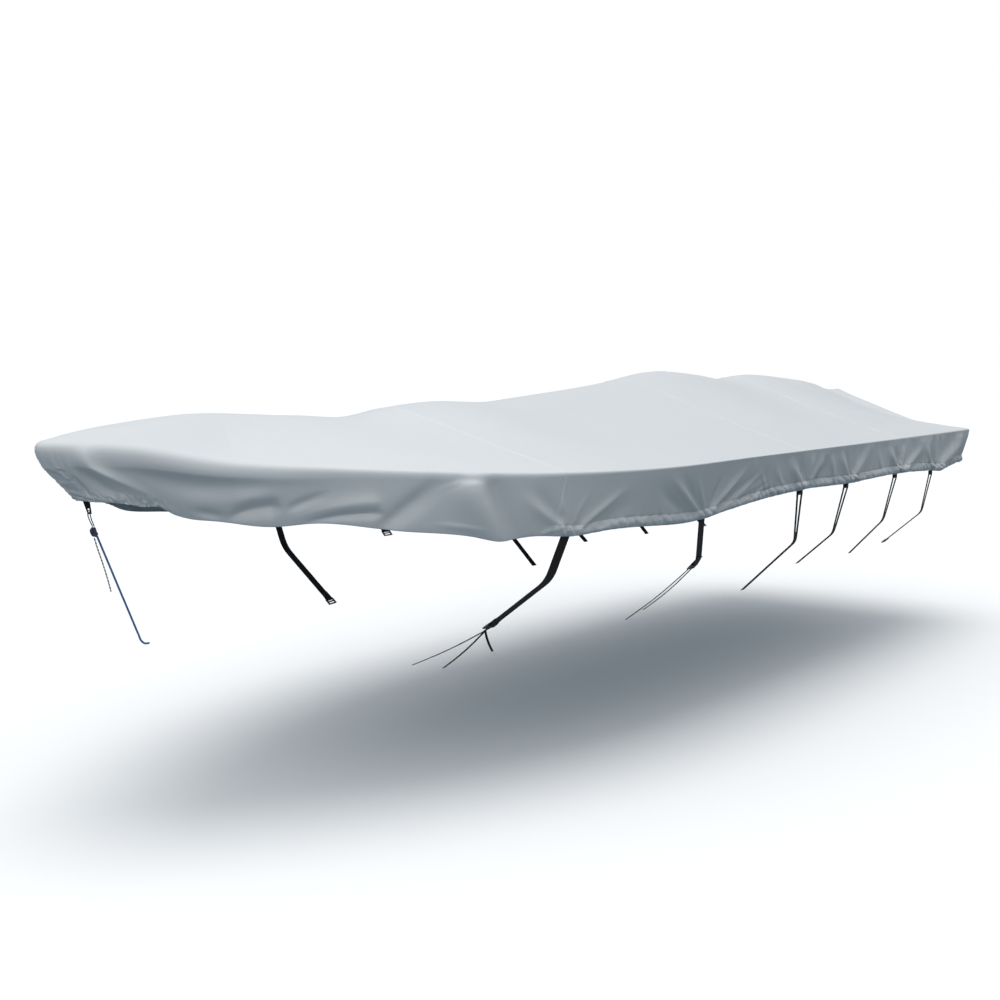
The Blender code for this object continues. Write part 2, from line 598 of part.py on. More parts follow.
def build_hem_loop(number, strap, side, material, collection):
    """A short webbing loop hanging from the hem, round the strap's turn."""
    name = "hem_loop_%s_%d" % ("port" if side < 0 else "stbd", number)
    outer, top = strap_places(strap, side, HEM_LOOP_THICKNESS / 2)
    width = HEM_LOOP_GAP + HEM_LOOP_THICKNESS
    inner = outer - Vector((0, side * width, 0))
    inner_top = top - Vector((0, side * width, LOOP_TAIL))
    straight = HEM_LOOP_DEPTH - width / 2
    route = [top, outer, outer - Vector((0, 0, straight))]
    for step in range(1, 6):
        angle = math.pi * step / 6
        route.append(route[2] + Vector((0, -side * width / 2 * (1 - math.cos(angle)),
                                        -width / 2 * math.sin(angle))))
    route += [inner - Vector((0, 0, straight)), inner, inner_top]
    across = strap_across(strap, side) * (HEM_LOOP_WIDTH / 2)
    rows = [[point - across, point + across] for point in route]
    ribbon(name, rows, HEM_LOOP_THICKNESS, material, collection)


def build_buckle(number, side, place, along, across, material, collection):
    """A slide buckle: a flat frame with a middle bar, its length along the strap."""
    name = "buckle_%s_%d" % ("port" if side < 0 else "stbd", number)
    half_w, half_l = BUCKLE["width"] / 2, BUCKLE["length"] / 2
    bar = BUCKLE["bar"]
    xs = (-half_w, -half_w + bar, half_w - bar, half_w)
    ys = (-half_l, -half_l + bar * 0.8, -bar * 0.35, bar * 0.35, half_l - bar * 0.8, half_l)
    rows = [[place + along * y + across * x for x in xs] for y in ys]
    ribbon(name, rows, BUCKLE["thickness"], material, collection, open_rows=(1, 3))


def build_leg(letter, leg, start, along, across, side, material, collection):
    name = "strap_%s_%d%s" % ("port" if side < 0 else "stbd", leg.strap, letter)
    end = mirrored((start.x + leg.end_x, leg.end_y, leg.end_z), side)
    heading = (end - start).normalized()
    first = start + heading * (LEG_GAP + BUCKLE["thickness"] * heading.cross(along).length)
    half = across * THIN_LEG / 2
    rows = []
    for step in range(5):
        point = first.lerp(end, step / 4)
        rows.append([point - half, point + half])
    ribbon(name, rows, STRAP_THICKNESS, material, collection)


def build_straps(webbing, plastic, collection):
    letters = "abc"
    for side in (-1, 1):
        for number, strap in enumerate(STRAPS, start=1):
            build_strap(number, strap, side, webbing, collection)
            if strap.doubled:
                build_hem_loop(number, strap, side, webbing, collection)
            if number not in BUCKLED_STRAPS:
                continue
            chine, end = strap_route(strap, side)[1:]
            along = (end - chine).normalized()
            across = strap_across(strap, side)
            place = end + along * (BUCKLE["length"] / 2 + BUCKLE_GAP)
            build_buckle(number, side, place, along, across, plastic, collection)
            legs = [leg for leg in LEGS if leg.strap == number and side < 0]
            for letter, leg in zip(letters, legs):
                foot = place + along * (BUCKLE["length"] / 2 + BUCKLE_GAP)
                begin = foot + across * leg.across
                build_leg(letter, leg, begin, along, across, side, webbing, collection)


# ---------------------------------------------------------------- bow tie
def build_bow_tie(materials, collection):
    top = Vector(BOW_LOOP_TOP)
    bottom = top + Vector((BOW_LOOP["rake"], 0, -BOW_LOOP["length"]))
    across = Vector((1, 0, 0))
    rows = []
    for share in BOW_LOOP_ROWS:
        middle = top.lerp(bottom, share)
        width = BOW_LOOP["top_width"] + share * (BOW_LOOP["bottom_width"] - BOW_LOOP["top_width"])
        slot = BOW_LOOP["slot"] / 2
        rows.append([middle - across * width / 2, middle - across * slot,
                     middle + across * slot, middle + across * width / 2])
    ribbon("bow_loop", rows, BOW_LOOP["thickness"], materials["webbing"], collection,
           open_rows=(2, 3))

    thread = top.lerp(bottom, THREAD_SHARE)
    knot = Vector(KNOT_CENTRE)
    through = across.cross(Vector((0, 0, 1))).normalized()
    knot_top = knot + Vector((-0.002, 0, KNOT_RADII[2] - 0.0001))
    runs = thread - Vector((0, 0, BIGHT_DROP))
    half = through * THREAD_HALF
    entry = through * KNOT_ENTRY
    bight = [knot_top + entry, runs + half * 1.2, thread + half, thread, thread - half,
             runs - half * 1.2, knot_top - entry]
    tube("bow_cord", smooth_route(bight, 0.004), CORD_RADIUS, materials["cord"], collection)

    shape = bmesh.new()
    bmesh.ops.create_uvsphere(shape, u_segments=14, v_segments=9, radius=1)
    bmesh.ops.scale(shape, vec=KNOT_RADII, verts=shape.verts)
    mesh = bpy.data.meshes.new("bow_knot")
    shape.to_mesh(mesh)
    shape.free()
    ball = add_mesh_object("bow_knot", mesh, materials["cord"], collection)
    ball.location = knot

    tube("bow_rope", smooth_route(ROPE_ROUTE, 5 * ROPE_RADIUS), ROPE_RADIUS,
         materials["rope"], collection)
    tube("bow_tail", smooth_route(TAIL_ROUTE, 6 * TAIL_RADIUS), TAIL_RADIUS,
         materials["tail"], collection)


def main():
    clear_scene()
    collection = bpy.data.collections.new("boat_cover")
    bpy.context.scene.collection.children.link(collection)
    materials = {
        "cloth": make_material("cover_cloth", CLOTH_GREY),
        "webbing": make_material("webbing", WEBBING_BLACK),
        "plastic": make_material("buckle_plastic", BUCKLE_BLACK),
        "cord": make_material("dark_cord", CORD_DARK),
        "rope": make_material("blue_rope", ROPE_BLUE),
        "tail": make_material("twisted_cord", TAIL_GREY),
    }
    build_panels(materials["cloth"], collection)
    build_straps(materials["webbing"], materials["plastic"], collection)
    build_bow_tie(materials, collection)


main()
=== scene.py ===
# %% [markdown]
# # A fitted cover for a small open boat
#
# The real cover is four widths of coated polyester, sewn together across the boat. A cord
# runs in the hem and draws the skirt under the boat's edge, and webbing straps hold it down.
# The boat is not there, so the cloth has to carry the shape on its own: a crowned roof, a
# crisp turn over the edge, and a skirt full of small pulls and folds.
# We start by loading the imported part. It fixes every size, and the pieces made below stand
# in its place.

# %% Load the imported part
import json
import math
from collections import namedtuple

import bpy
import numpy as np
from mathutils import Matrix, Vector

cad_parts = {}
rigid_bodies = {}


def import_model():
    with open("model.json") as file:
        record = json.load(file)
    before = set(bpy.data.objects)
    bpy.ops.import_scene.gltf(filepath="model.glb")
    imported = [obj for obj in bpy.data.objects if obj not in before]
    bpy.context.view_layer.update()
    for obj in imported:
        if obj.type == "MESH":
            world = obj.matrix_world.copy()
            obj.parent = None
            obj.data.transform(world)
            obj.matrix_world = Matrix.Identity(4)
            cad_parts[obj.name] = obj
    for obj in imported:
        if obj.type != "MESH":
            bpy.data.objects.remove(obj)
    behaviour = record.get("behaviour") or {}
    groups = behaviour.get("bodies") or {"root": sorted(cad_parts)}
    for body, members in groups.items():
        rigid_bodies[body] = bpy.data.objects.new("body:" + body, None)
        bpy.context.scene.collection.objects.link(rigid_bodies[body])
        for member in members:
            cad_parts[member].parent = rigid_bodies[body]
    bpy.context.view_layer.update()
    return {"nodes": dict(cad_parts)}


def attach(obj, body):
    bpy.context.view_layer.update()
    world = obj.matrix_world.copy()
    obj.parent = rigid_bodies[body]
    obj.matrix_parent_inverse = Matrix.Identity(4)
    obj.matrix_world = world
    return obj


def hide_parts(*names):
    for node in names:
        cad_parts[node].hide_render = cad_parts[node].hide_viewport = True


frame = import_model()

print("nodes of the packed part:", len(frame["nodes"]))

# %% [markdown]
# ## Where we stand
#
# The eye is 1.35 m above the ground, ahead of the port bow, and looks aft along the boat.
# A 50 mm lens on a 36 mm sensor gives the same easy perspective as a person standing there.
# The camera comes first, because the folds are made for what can be seen from here.

# %% Camera
EYE = (-4.592916, -3.2224137, 0.384028)
HEADING = math.radians(38.16)             # turned from the boat's fore-and-aft line
DIP = math.atan(150 / 1400)               # looking slightly down
LENS = 50.4
SENSOR = 36.0


def add_object(name, data):
    """A new object in the scene."""
    thing = bpy.data.objects.new(name, data)
    bpy.context.scene.collection.objects.link(thing)
    return thing


def stand_at(thing, place, way):
    """Put a camera or a lamp at a place, looking along a direction."""
    thing.location = place
    thing.rotation_euler = way.to_track_quat("-Z", "Y").to_euler()


forward = Vector((math.cos(HEADING) * math.cos(DIP), math.sin(HEADING) * math.cos(DIP),
                  -math.sin(DIP)))
camera = add_object("camera", bpy.data.cameras.new("camera"))
camera.data.lens = LENS
camera.data.sensor_width = SENSOR
stand_at(camera, EYE, forward)
bpy.context.scene.camera = camera
bpy.context.scene.view_settings.view_transform = "Standard"
print("camera looks along", tuple(round(part, 3) for part in forward))

# %% [markdown]
# ## Nodes and finishes
#
# The sky and every finish are made of shader nodes. Linking them by hand takes three lines
# a node, so two small helpers do it: one makes a node and feeds its sockets, the other makes
# a material and sets plain values on the Principled shader's own sockets.

# %% Helpers for nodes
def node(tree, kind, settings=None, **inputs):
    """A node with its settings. Inputs are named, or i0, i1 and so on by their place."""
    made = tree.nodes.new(kind)
    for key, value in (settings or {}).items():
        setattr(made, key, value)
    for key, value in inputs.items():
        label = key.replace("_", " ").lower()
        socket = made.inputs[int(key[1:])] if key[0] == "i" and key[1:].isdigit() else \
            next(s for s in made.inputs if s.name.lower() == label and s.enabled)
        if isinstance(value, bpy.types.NodeSocket):
            tree.links.new(value, socket)
        else:
            socket.default_value = value
    return made


def maths(tree, operation, *values):
    """One sum on plain values or sockets."""
    inputs = {"i%d" % place: value for place, value in enumerate(values)}
    return node(tree, "ShaderNodeMath", {"operation": operation}, **inputs).outputs[0]


def new_material(name, **values):
    """A material, its node tree and its Principled shader with these values."""
    material = bpy.data.materials.new(name)
    material.use_nodes = True
    shader = material.node_tree.nodes["Principled BSDF"]
    for label, value in values.items():
        shader.inputs[label.replace("_", " ")].default_value = value
    return material, material.node_tree, shader


print("helpers:", node.__name__, maths.__name__, new_material.__name__)

# %% [markdown]
# ## Floor and light
#
# An overcast sky suits pale cloth: the roof is bright, the skirt falls into a soft shade,
# and each fold shows by how far it leans towards the sky. A world that is bright overhead,
# and dim and bluer at the horizon does that, with a very wide sun above for a soft shadow.
# Two soft lamps ahead of the boat lift the side of the bow.
# The floor is plain and pale, and is no part of the cover.

# %% Floor, sky and lamps
FLOOR_HEIGHT = -0.97
FLOOR_SIZE = 90.0
FLOOR_GREY = 0.90
SKY = ((0.00, 0.10), (0.44, 0.115), (0.56, 0.145), (0.80, 0.78), (1.00, 1.27))
SKY_AHEAD = 0.10              # how much brighter the sky is ahead of the boat than over it
HORIZON_TINT = (-0.58, 0.0, 0.48)     # red, green and blue of the bluest sky


def make_floor():
    mesh = bpy.data.meshes.new("floor")
    half = FLOOR_SIZE / 2
    corners = [(-half, -half), (half, -half), (half, half), (-half, half)]
    mesh.from_pydata([(x, y, FLOOR_HEIGHT) for x, y in corners], [], [(0, 1, 2, 3)])
    mesh.materials.append(new_material("floor_paint", Roughness=0.95,
                                       Base_Color=(FLOOR_GREY, FLOOR_GREY, FLOOR_GREY, 1))[0])
    floor = add_object("floor", mesh)
    floor.visible_diffuse = False


def make_sky():
    """A sky that lights the cover, and plain white where the camera looks past it."""
    world = bpy.data.worlds.new("sky")
    bpy.context.scene.world = world
    world.use_nodes = True
    tree = world.node_tree
    tree.nodes.clear()
    where = node(tree, "ShaderNodeTexCoord").outputs["Generated"]
    split = node(tree, "ShaderNodeSeparateXYZ", i0=where)
    share = node(tree, "ShaderNodeMapRange", Value=split.outputs["Z"], From_Min=-1.0)
    ramp = node(tree, "ShaderNodeValToRGB", Fac=share.outputs["Result"])
    while len(ramp.color_ramp.elements) < len(SKY):
        ramp.color_ramp.elements.new(0.5)
    for element, (place, value) in zip(ramp.color_ramp.elements, SKY):
        element.position = place
        blue = min(1.0, 1.4 * (1 - place) ** 1.5)
        element.color = (*(value * (1 + tint * blue) for tint in HORIZON_TINT), 1)
    ahead = node(tree, "ShaderNodeMath", {"operation": "MULTIPLY_ADD"}, i0=split.outputs["X"],
                 i1=-SKY_AHEAD, i2=1.0)
    lit = node(tree, "ShaderNodeBackground", Color=ramp.outputs["Color"],
               Strength=ahead.outputs[0])
    seen = node(tree, "ShaderNodeBackground", Color=(1, 1, 1, 1))
    path = node(tree, "ShaderNodeLightPath")
    mix = node(tree, "ShaderNodeMixShader", i0=path.outputs["Is Camera Ray"],
               i1=lit.outputs[0], i2=seen.outputs[0])
    node(tree, "ShaderNodeOutputWorld", Surface=mix.outputs[0])


def add_lamp(name, kind, energy, place, target, **settings):
    lamp = add_object(name, bpy.data.lights.new(name, kind))
    lamp.data.energy = energy
    for key, value in settings.items():
        setattr(lamp.data, key, value)
    stand_at(lamp, place, Vector(target) - Vector(place))


make_floor()
make_sky()
add_lamp("bow_fill", "AREA", 45, (-7.5, -2.2, 1.0), (-1.2, -0.3, 0.0), shape="DISK", size=3.0)
add_lamp("bow_spot", "SPOT", 310, (-3.4, -4.5, 0.4), (-1.75, -0.5, -0.02),
         spot_size=math.radians(25), spot_blend=1.0, shadow_soft_size=0.8)
add_lamp("overhead", "SUN", 1.05, (0, 0, 6), (0, 0, 0), angle=math.radians(40))
print("floor at", FLOOR_HEIGHT, "m")

# %% [markdown]
# ## The hull's edge
#
# Everything follows the line of the hull's top edge. In plan it is a sine curve from the
# stem to the widest place, then a slow run in to the transom, with small rounded corners.
# We lay out a dense half outline once and then read any place on it by its length along
# the edge, which is how a sailmaker would mark it too. These sizes and tables are the same
# as in the part's own source. Only the turn over the edge is slightly tighter here, and the
# last ribs at the stern draw together at the ridge's end.

# %% Driving sizes
BOAT_LENGTH = 4.90
HALF_BEAM = 0.82
WIDEST_STATION = 2.06
TRANSOM_HALF = 0.72
BOW_FULLNESS = 0.80
RUN_AFT_POWER = 1.8
CORNER_RADIUS = 0.035
CLOTH = 0.002
SEAM_STATIONS = (1.368, 2.844, 3.850)
BOW_RIDGE_START = 0.30
STERN_FAN_STATION = 4.42
STERN_RIDGE_END = 4.74
FEET_GATHER = (0.80, 0.935)   # shares of the fan where its ribs draw together at the ridge
FEET_DRAWN = 0.98             # and how close they come
ROOF_SAG = 0.011
SAG_START, SAG_LENGTH = 1.2, 0.8
ROUNDED_BOW = 0.40            # the roof is rounder forward of here
ROUNDED_POWER, CROWN_POWER = 2.6, 10
QUARTER_HOLLOW = 0.040
QUARTER_REACH = 0.50
STEM_SWELL = 0.025
STEM_SWELL_REACH = 0.15
STEM_DRAW_REACH = 0.45
HEM_TUCK = 0.006
LEAN_START = 0.4              # of the edge's radius
SHEER = {"station": (0.00, 0.15, 0.37, 0.65, 0.94, 1.30, 1.60, 2.50, 4.90),
         "height": (0.133, 0.120, 0.079, 0.053, 0.031, 0.010, 0.001, -0.002, -0.012)}
RIDGE = {"station": (0.30, 0.47, 0.86, 1.22, 1.40, 1.57, 1.95, 2.21, 2.76, 3.14, 3.47, 3.72, 4.02,
                     4.35, 4.74),
         "height": (0.176, 0.197, 0.183, 0.169, 0.192, 0.203, 0.193, 0.209, 0.250, 0.291, 0.273,
                    0.248, 0.264, 0.247, 0.206)}
RIDGE_OFFSET = {"station": (0.30, 1.40, 2.80, 3.85, 4.74),
                "offset": (0.00, 0.02, 0.05, 0.09, 0.08)}
TRANSOM_EDGE = {"breadth": (0.00, 0.07, 0.194, 0.317, 0.442, 0.560, 0.720),
                "height": (0.180, 0.150, 0.104, 0.059, 0.018, 0.003, -0.012)}
PORT_DROP = {"station": (0.00, 0.05, 0.10, 0.14, 0.17, 0.20, 0.25, 0.30, 0.36, 0.50, 0.62, 0.85,
                         1.06, 1.18, 1.28, 1.45, 1.60, 2.10, 2.27, 2.68, 2.90, 3.35, 3.80, 4.30,
                         4.50, 4.83),
             "drop": (0.157, 0.157, 0.160, 0.166, 0.162, 0.158, 0.172, 0.176, 0.173, 0.181, 0.167,
                      0.184, 0.197, 0.216, 0.203, 0.208, 0.196, 0.203, 0.188, 0.162, 0.158, 0.164,
                      0.158, 0.174, 0.187, 0.168)}
STBD_DROP = {"station": (0.00, 0.14, 0.50, 1.10, 1.50, 2.20, 2.90, 3.80, 4.50, 4.83),
             "drop": (0.157, 0.164, 0.176, 0.204, 0.200, 0.192, 0.162, 0.160, 0.180, 0.168)}
TRANSOM_HEM_MIDDLE = -0.135
SKIRT_LEAN = {"station": (0.00, 0.03, 0.07, 0.15, 0.22, 0.31, 0.39, 0.60, 1.00, 1.50, 2.20, 3.00,
                          4.50, 4.83, 5.60),
              "lean": (1.01, 0.93, 0.85, 0.78, 0.72, 0.68, 0.66, 0.62, 0.42, 0.28, 0.20, 0.15,
                       0.10, 0.22, 0.18)}
EDGE_RADIUS = {"station": (0.00, 0.16, 0.50, 1.20, 1.60, 4.90),
               "radius": (0.052, 0.045, 0.030, 0.018, 0.011, 0.011)}
print("cover for a boat of", BOAT_LENGTH, "m by", 2 * HALF_BEAM, "m")


# %% Reading the tables
def smooth_read(table, column, where, key="station"):
    """Read a short table with a smooth curve through its rows."""
    xs = np.array(table[key], float)
    ys = np.array(table[column], float)
    slopes = np.gradient(ys, xs)
    where = np.clip(where, xs[0], xs[-1])
    cell = np.clip(np.searchsorted(xs, where) - 1, 0, len(xs) - 2)
    width = xs[cell + 1] - xs[cell]
    t = (where - xs[cell]) / width
    start = (1 + 2 * t) * (1 - t) ** 2 * ys[cell] + t * (1 - t) ** 2 * width * slopes[cell]
    end = t * t * (3 - 2 * t) * ys[cell + 1] - t * t * (1 - t) * width * slopes[cell + 1]
    return start + end


def half_breadth(station):
    """Half the hull's breadth at its top edge."""
    forward_share = np.clip(station / WIDEST_STATION, 0, 1)
    aft_share = np.clip((station - WIDEST_STATION) / (BOAT_LENGTH - WIDEST_STATION), 0, 1)
    bow = HALF_BEAM * np.sin(math.pi / 2 * forward_share) ** BOW_FULLNESS
    run = HALF_BEAM - (HALF_BEAM - TRANSOM_HALF) * aft_share ** RUN_AFT_POWER
    return np.where(station <= WIDEST_STATION, bow, run)


print("half breadth amidships:", float(half_breadth(BOAT_LENGTH / 2)), "m")

# %% The outline in plan
SIDE_POINTS, CORNER_POINTS, TRANSOM_POINTS = 1200, 24, 60


def plan_outline():
    """Dense half outline of the top edge: stem, side, rounded corner, transom middle."""
    corner_start = BOAT_LENGTH - CORNER_RADIUS
    side = corner_start * np.linspace(0, 1, SIDE_POINTS) ** 2
    breadth = half_breadth(side)
    turn = np.linspace(0, math.pi / 2, CORNER_POINTS)[1:]
    corner_x = corner_start + CORNER_RADIUS * np.sin(turn)
    corner_y = breadth[-1] - CORNER_RADIUS * (1 - np.cos(turn))
    across = np.linspace(corner_y[-1], 0, TRANSOM_POINTS)[1:]
    station = np.concatenate([side, corner_x, np.full(len(across), BOAT_LENGTH)])
    breadth = np.concatenate([breadth, corner_y, across])
    steps = np.hypot(np.diff(station), np.diff(breadth))
    return station, breadth, np.concatenate([[0], np.cumsum(steps)])


OUTLINE_STATION, OUTLINE_BREADTH, OUTLINE_ARC = plan_outline()
ARC_END = OUTLINE_ARC[-1]
ARC_CORNER = OUTLINE_ARC[SIDE_POINTS - 1]


def arc_at(station):
    """Length along the edge from the stem to a station on the side."""
    return np.interp(station, OUTLINE_STATION[:SIDE_POINTS], OUTLINE_ARC[:SIDE_POINTS])


def outline_at(arc):
    """Station and half breadth at lengths along the edge; ahead of the stem it is mirrored."""
    return (np.interp(abs(arc), OUTLINE_ARC, OUTLINE_STATION),
            np.interp(abs(arc), OUTLINE_ARC, OUTLINE_BREADTH) * np.sign(arc))


ARC_SEAMS = [float(arc_at(station)) for station in SEAM_STATIONS]
ARC_STERN_FAN = float(arc_at(STERN_FAN_STATION))
print("half the edge is", round(ARC_END, 3), "m long")

# %% [markdown]
# ## Ribs: the tight cloth
#
# A rib is one line of the cloth from the ridge, over the edge and down to the hem. Near the
# stem and the transom the ribs fan out, and between them they lie square across the boat.
# First comes the tight shape with no folds at all. Working on whole arrays of ribs keeps
# half a million points quick to place.

# %% Ribs
NORMAL_STEP = 0.012


def smooth_step(value):
    value = np.clip(value, 0, 1)
    return value * value * (3 - 2 * value)


class Ribs:
    """The edge, ridge, slopes and depths of many ribs on one side of the boat."""

    def __init__(self, arcs, side):
        self.arc = arcs = np.asarray(arcs, float)
        self.side = side
        self.station, self.breadth = outline_at(arcs)
        self.normal = self.outward(arcs, side)
        on_side = arcs <= ARC_CORNER
        self.height = np.where(on_side, smooth_read(SHEER, "height", self.station),
                               smooth_read(TRANSOM_EDGE, "height", self.breadth, key="breadth"))
        self.drop = self.depth(on_side)
        lean_at = np.where(on_side, self.station, BOAT_LENGTH + arcs - ARC_CORNER)
        self.lean = smooth_read(SKIRT_LEAN, "lean", lean_at)
        self.radius = smooth_read(EDGE_RADIUS, "radius", self.station)
        ridge_at = self.ridge_station()
        self.ridge = np.stack([ridge_at - BOAT_LENGTH / 2,
                               smooth_read(RIDGE_OFFSET, "offset", ridge_at),
                               smooth_read(RIDGE, "height", ridge_at)], 1)
        self.edge = np.stack([self.station - BOAT_LENGTH / 2, self.breadth * side, self.height], 1)
        swell = STEM_SWELL * np.exp(-(arcs / STEM_SWELL_REACH) ** 2)
        self.edge += self.normal * swell[:, None]
        turn = smooth_step(arcs / STEM_DRAW_REACH)[:, None]
        inward = np.array([1.0, 0, 0]) * (1 - turn) - self.normal * turn
        self.inward = inward / np.linalg.norm(inward, axis=1)[:, None]
        self.roof_mix = np.where(on_side, np.clip(1 - self.station / ROUNDED_BOW, 0, 1), 0)
        self.sag = ROOF_SAG * np.clip((self.station - SAG_START) / SAG_LENGTH, 0, 1)
        self.sag += QUARTER_HOLLOW * np.exp(-((arcs - ARC_CORNER) / QUARTER_REACH) ** 2)

    def outward(self, arcs, side):
        """Unit directions square to the edge in plan."""
        ahead = outline_at(np.minimum(arcs + NORMAL_STEP, ARC_END))
        behind = outline_at(arcs - NORMAL_STEP)
        along_x, along_y = ahead[0] - behind[0], ahead[1] - behind[1]
        size = np.hypot(along_x, along_y)
        return np.stack([-along_y / size, along_x / size * side, 0 * size], 1)

    def depth(self, on_side):
        """How far the hem hangs below the edge."""
        table = PORT_DROP if self.side < 0 else STBD_DROP
        along = smooth_read(table, "drop", self.station)
        corner_hem = smooth_read(SHEER, "height", BOAT_LENGTH) - table["drop"][-1]
        share = 1 - (self.breadth / TRANSOM_HALF) ** 2
        across = self.height - (corner_hem + share * (TRANSOM_HEM_MIDDLE - corner_hem))
        return np.where(on_side, along, across)

    def ridge_station(self):
        """Where each rib meets the ridge: the ribs fan out at the bow and at the stern."""
        first = SEAM_STATIONS[0]
        bow = BOW_RIDGE_START + self.station * (first - BOW_RIDGE_START) / first
        share = (self.arc - ARC_STERN_FAN) / (ARC_END - ARC_STERN_FAN)
        gathered = smooth_step((share - FEET_GATHER[0]) / (FEET_GATHER[1] - FEET_GATHER[0]))
        share = share + FEET_DRAWN * (1 - share) * gathered
        stern = STERN_FAN_STATION + share * (STERN_RIDGE_END - STERN_FAN_STATION)
        middle = np.where(self.arc <= ARC_STERN_FAN, self.station, stern)
        return np.where((self.station < first) & (self.arc < ARC_CORNER), bow, middle)

    def roof(self, share):
        """Points of the roof; share runs from 0 at the ridge to 1 at the edge."""
        up = 1 - share
        straight = (CROWN_POWER * up - up ** CROWN_POWER) / (CROWN_POWER - 1)
        rounded = 1 - (1 - up) ** ROUNDED_POWER
        rise = (1 - self.roof_mix) * straight + self.roof_mix * rounded
        points = self.ridge + (self.edge - self.ridge) * np.reshape(share, (-1, 1))
        points[:, 2] = self.edge[:, 2] + (self.ridge[:, 2] - self.edge[:, 2]) * rise
        points[:, 2] -= self.sag * np.sin(math.pi * up) * (1 - up ** 6)
        return points

    def skirt(self, drop):
        """Points of the tight skirt at a depth below the edge."""
        inward = self.lean * np.maximum(drop - LEAN_START * self.radius, 0)
        inward += HEM_TUCK * (np.maximum(drop, 0) / self.drop) ** 6
        points = self.edge + self.inward * inward[:, None]
        points[:, 2] -= drop
        return points


test_ribs = Ribs(np.linspace(0, ARC_END, 5), -1)
print("edge heights along the port side:", test_ribs.height.round(3))

# %% [markdown]
# ## Folds: where the cloth gives
#
# Cloth over an edge never hangs evenly. The straps pull it into ridges that fan up from the
# hem, the bow has slack that falls into pockets, and the drawstring gathers the hem into
# small puckers. A simulation would put such folds anywhere, so here each one is listed:
# three points on the skirt, given by station and by depth below the edge, with a width, a
# height (below zero for a trough) and a crest that is soft or crisp.

# %% Folds of the port bow
Crease = namedtuple("Crease", "s0 d0 s1 d1 s2 d2 width height crisp")
SOFT, FIRM, CRISP = 2.0, 1.6, 1.25        # power of the crest's profile

BOW_FOLDS = (
    # dart gathered at the stem
    Crease(0.028, 0.074, 0.024, 0.104, 0.020, 0.140, 0.008, -0.014, CRISP),
    Crease(0.038, 0.040, 0.030, 0.074, 0.022, 0.120, 0.009, 0.004, SOFT),
    # the shoulder that runs down from the stem, with hollows to either side
    Crease(0.210, 0.138, 0.090, 0.070, 0.060, 0.010, 0.021, 0.023, FIRM),
    Crease(0.048, 0.048, 0.064, 0.100, 0.108, 0.146, 0.024, -0.013, SOFT),
    Crease(0.136, 0.050, 0.296, 0.076, 0.504, 0.034, 0.030, -0.013, SOFT),
    Crease(0.228, 0.130, 0.334, 0.120, 0.402, 0.104, 0.030, 0.006, SOFT),
    # the swelling under the edge
    Crease(0.060, 0.040, 0.300, 0.038, 0.700, 0.026, 0.017, 0.012, SOFT),
    # slack below them
    Crease(0.296, 0.148, 0.348, 0.152, 0.390, 0.156, 0.012, -0.010, SOFT),
    # the pocket above the hem
    Crease(0.378, 0.172, 0.446, 0.132, 0.526, 0.120, 0.021, -0.027, FIRM),
    Crease(0.368, 0.124, 0.438, 0.098, 0.520, 0.082, 0.022, 0.009, SOFT),
    # a pull that runs up from the pocket
    Crease(0.526, 0.132, 0.574, 0.104, 0.642, 0.068, 0.014, -0.012, SOFT),
    # the long crease, with the swelling above it
    Crease(0.574, 0.168, 0.688, 0.140, 0.800, 0.130, 0.012, -0.020, FIRM),
    Crease(0.552, 0.156, 0.670, 0.110, 0.794, 0.096, 0.024, 0.014, FIRM),
    # the next valley, and the flat plane after it up to its crest
    Crease(0.770, 0.197, 0.860, 0.116, 0.954, 0.007, 0.030, -0.025, SOFT),
    Crease(1.004, 0.014, 1.056, 0.092, 1.214, 0.287, 0.056, 0.033, SOFT),
    Crease(1.081, 0.004, 1.140, 0.096, 1.282, 0.289, 0.036, -0.019, SOFT),
    # the hem rolled under
    Crease(0.928, 0.160, 1.030, 0.168, 1.120, 0.184, 0.010, 0.005, SOFT),
)
print("folds at the port bow:", len(BOW_FOLDS))

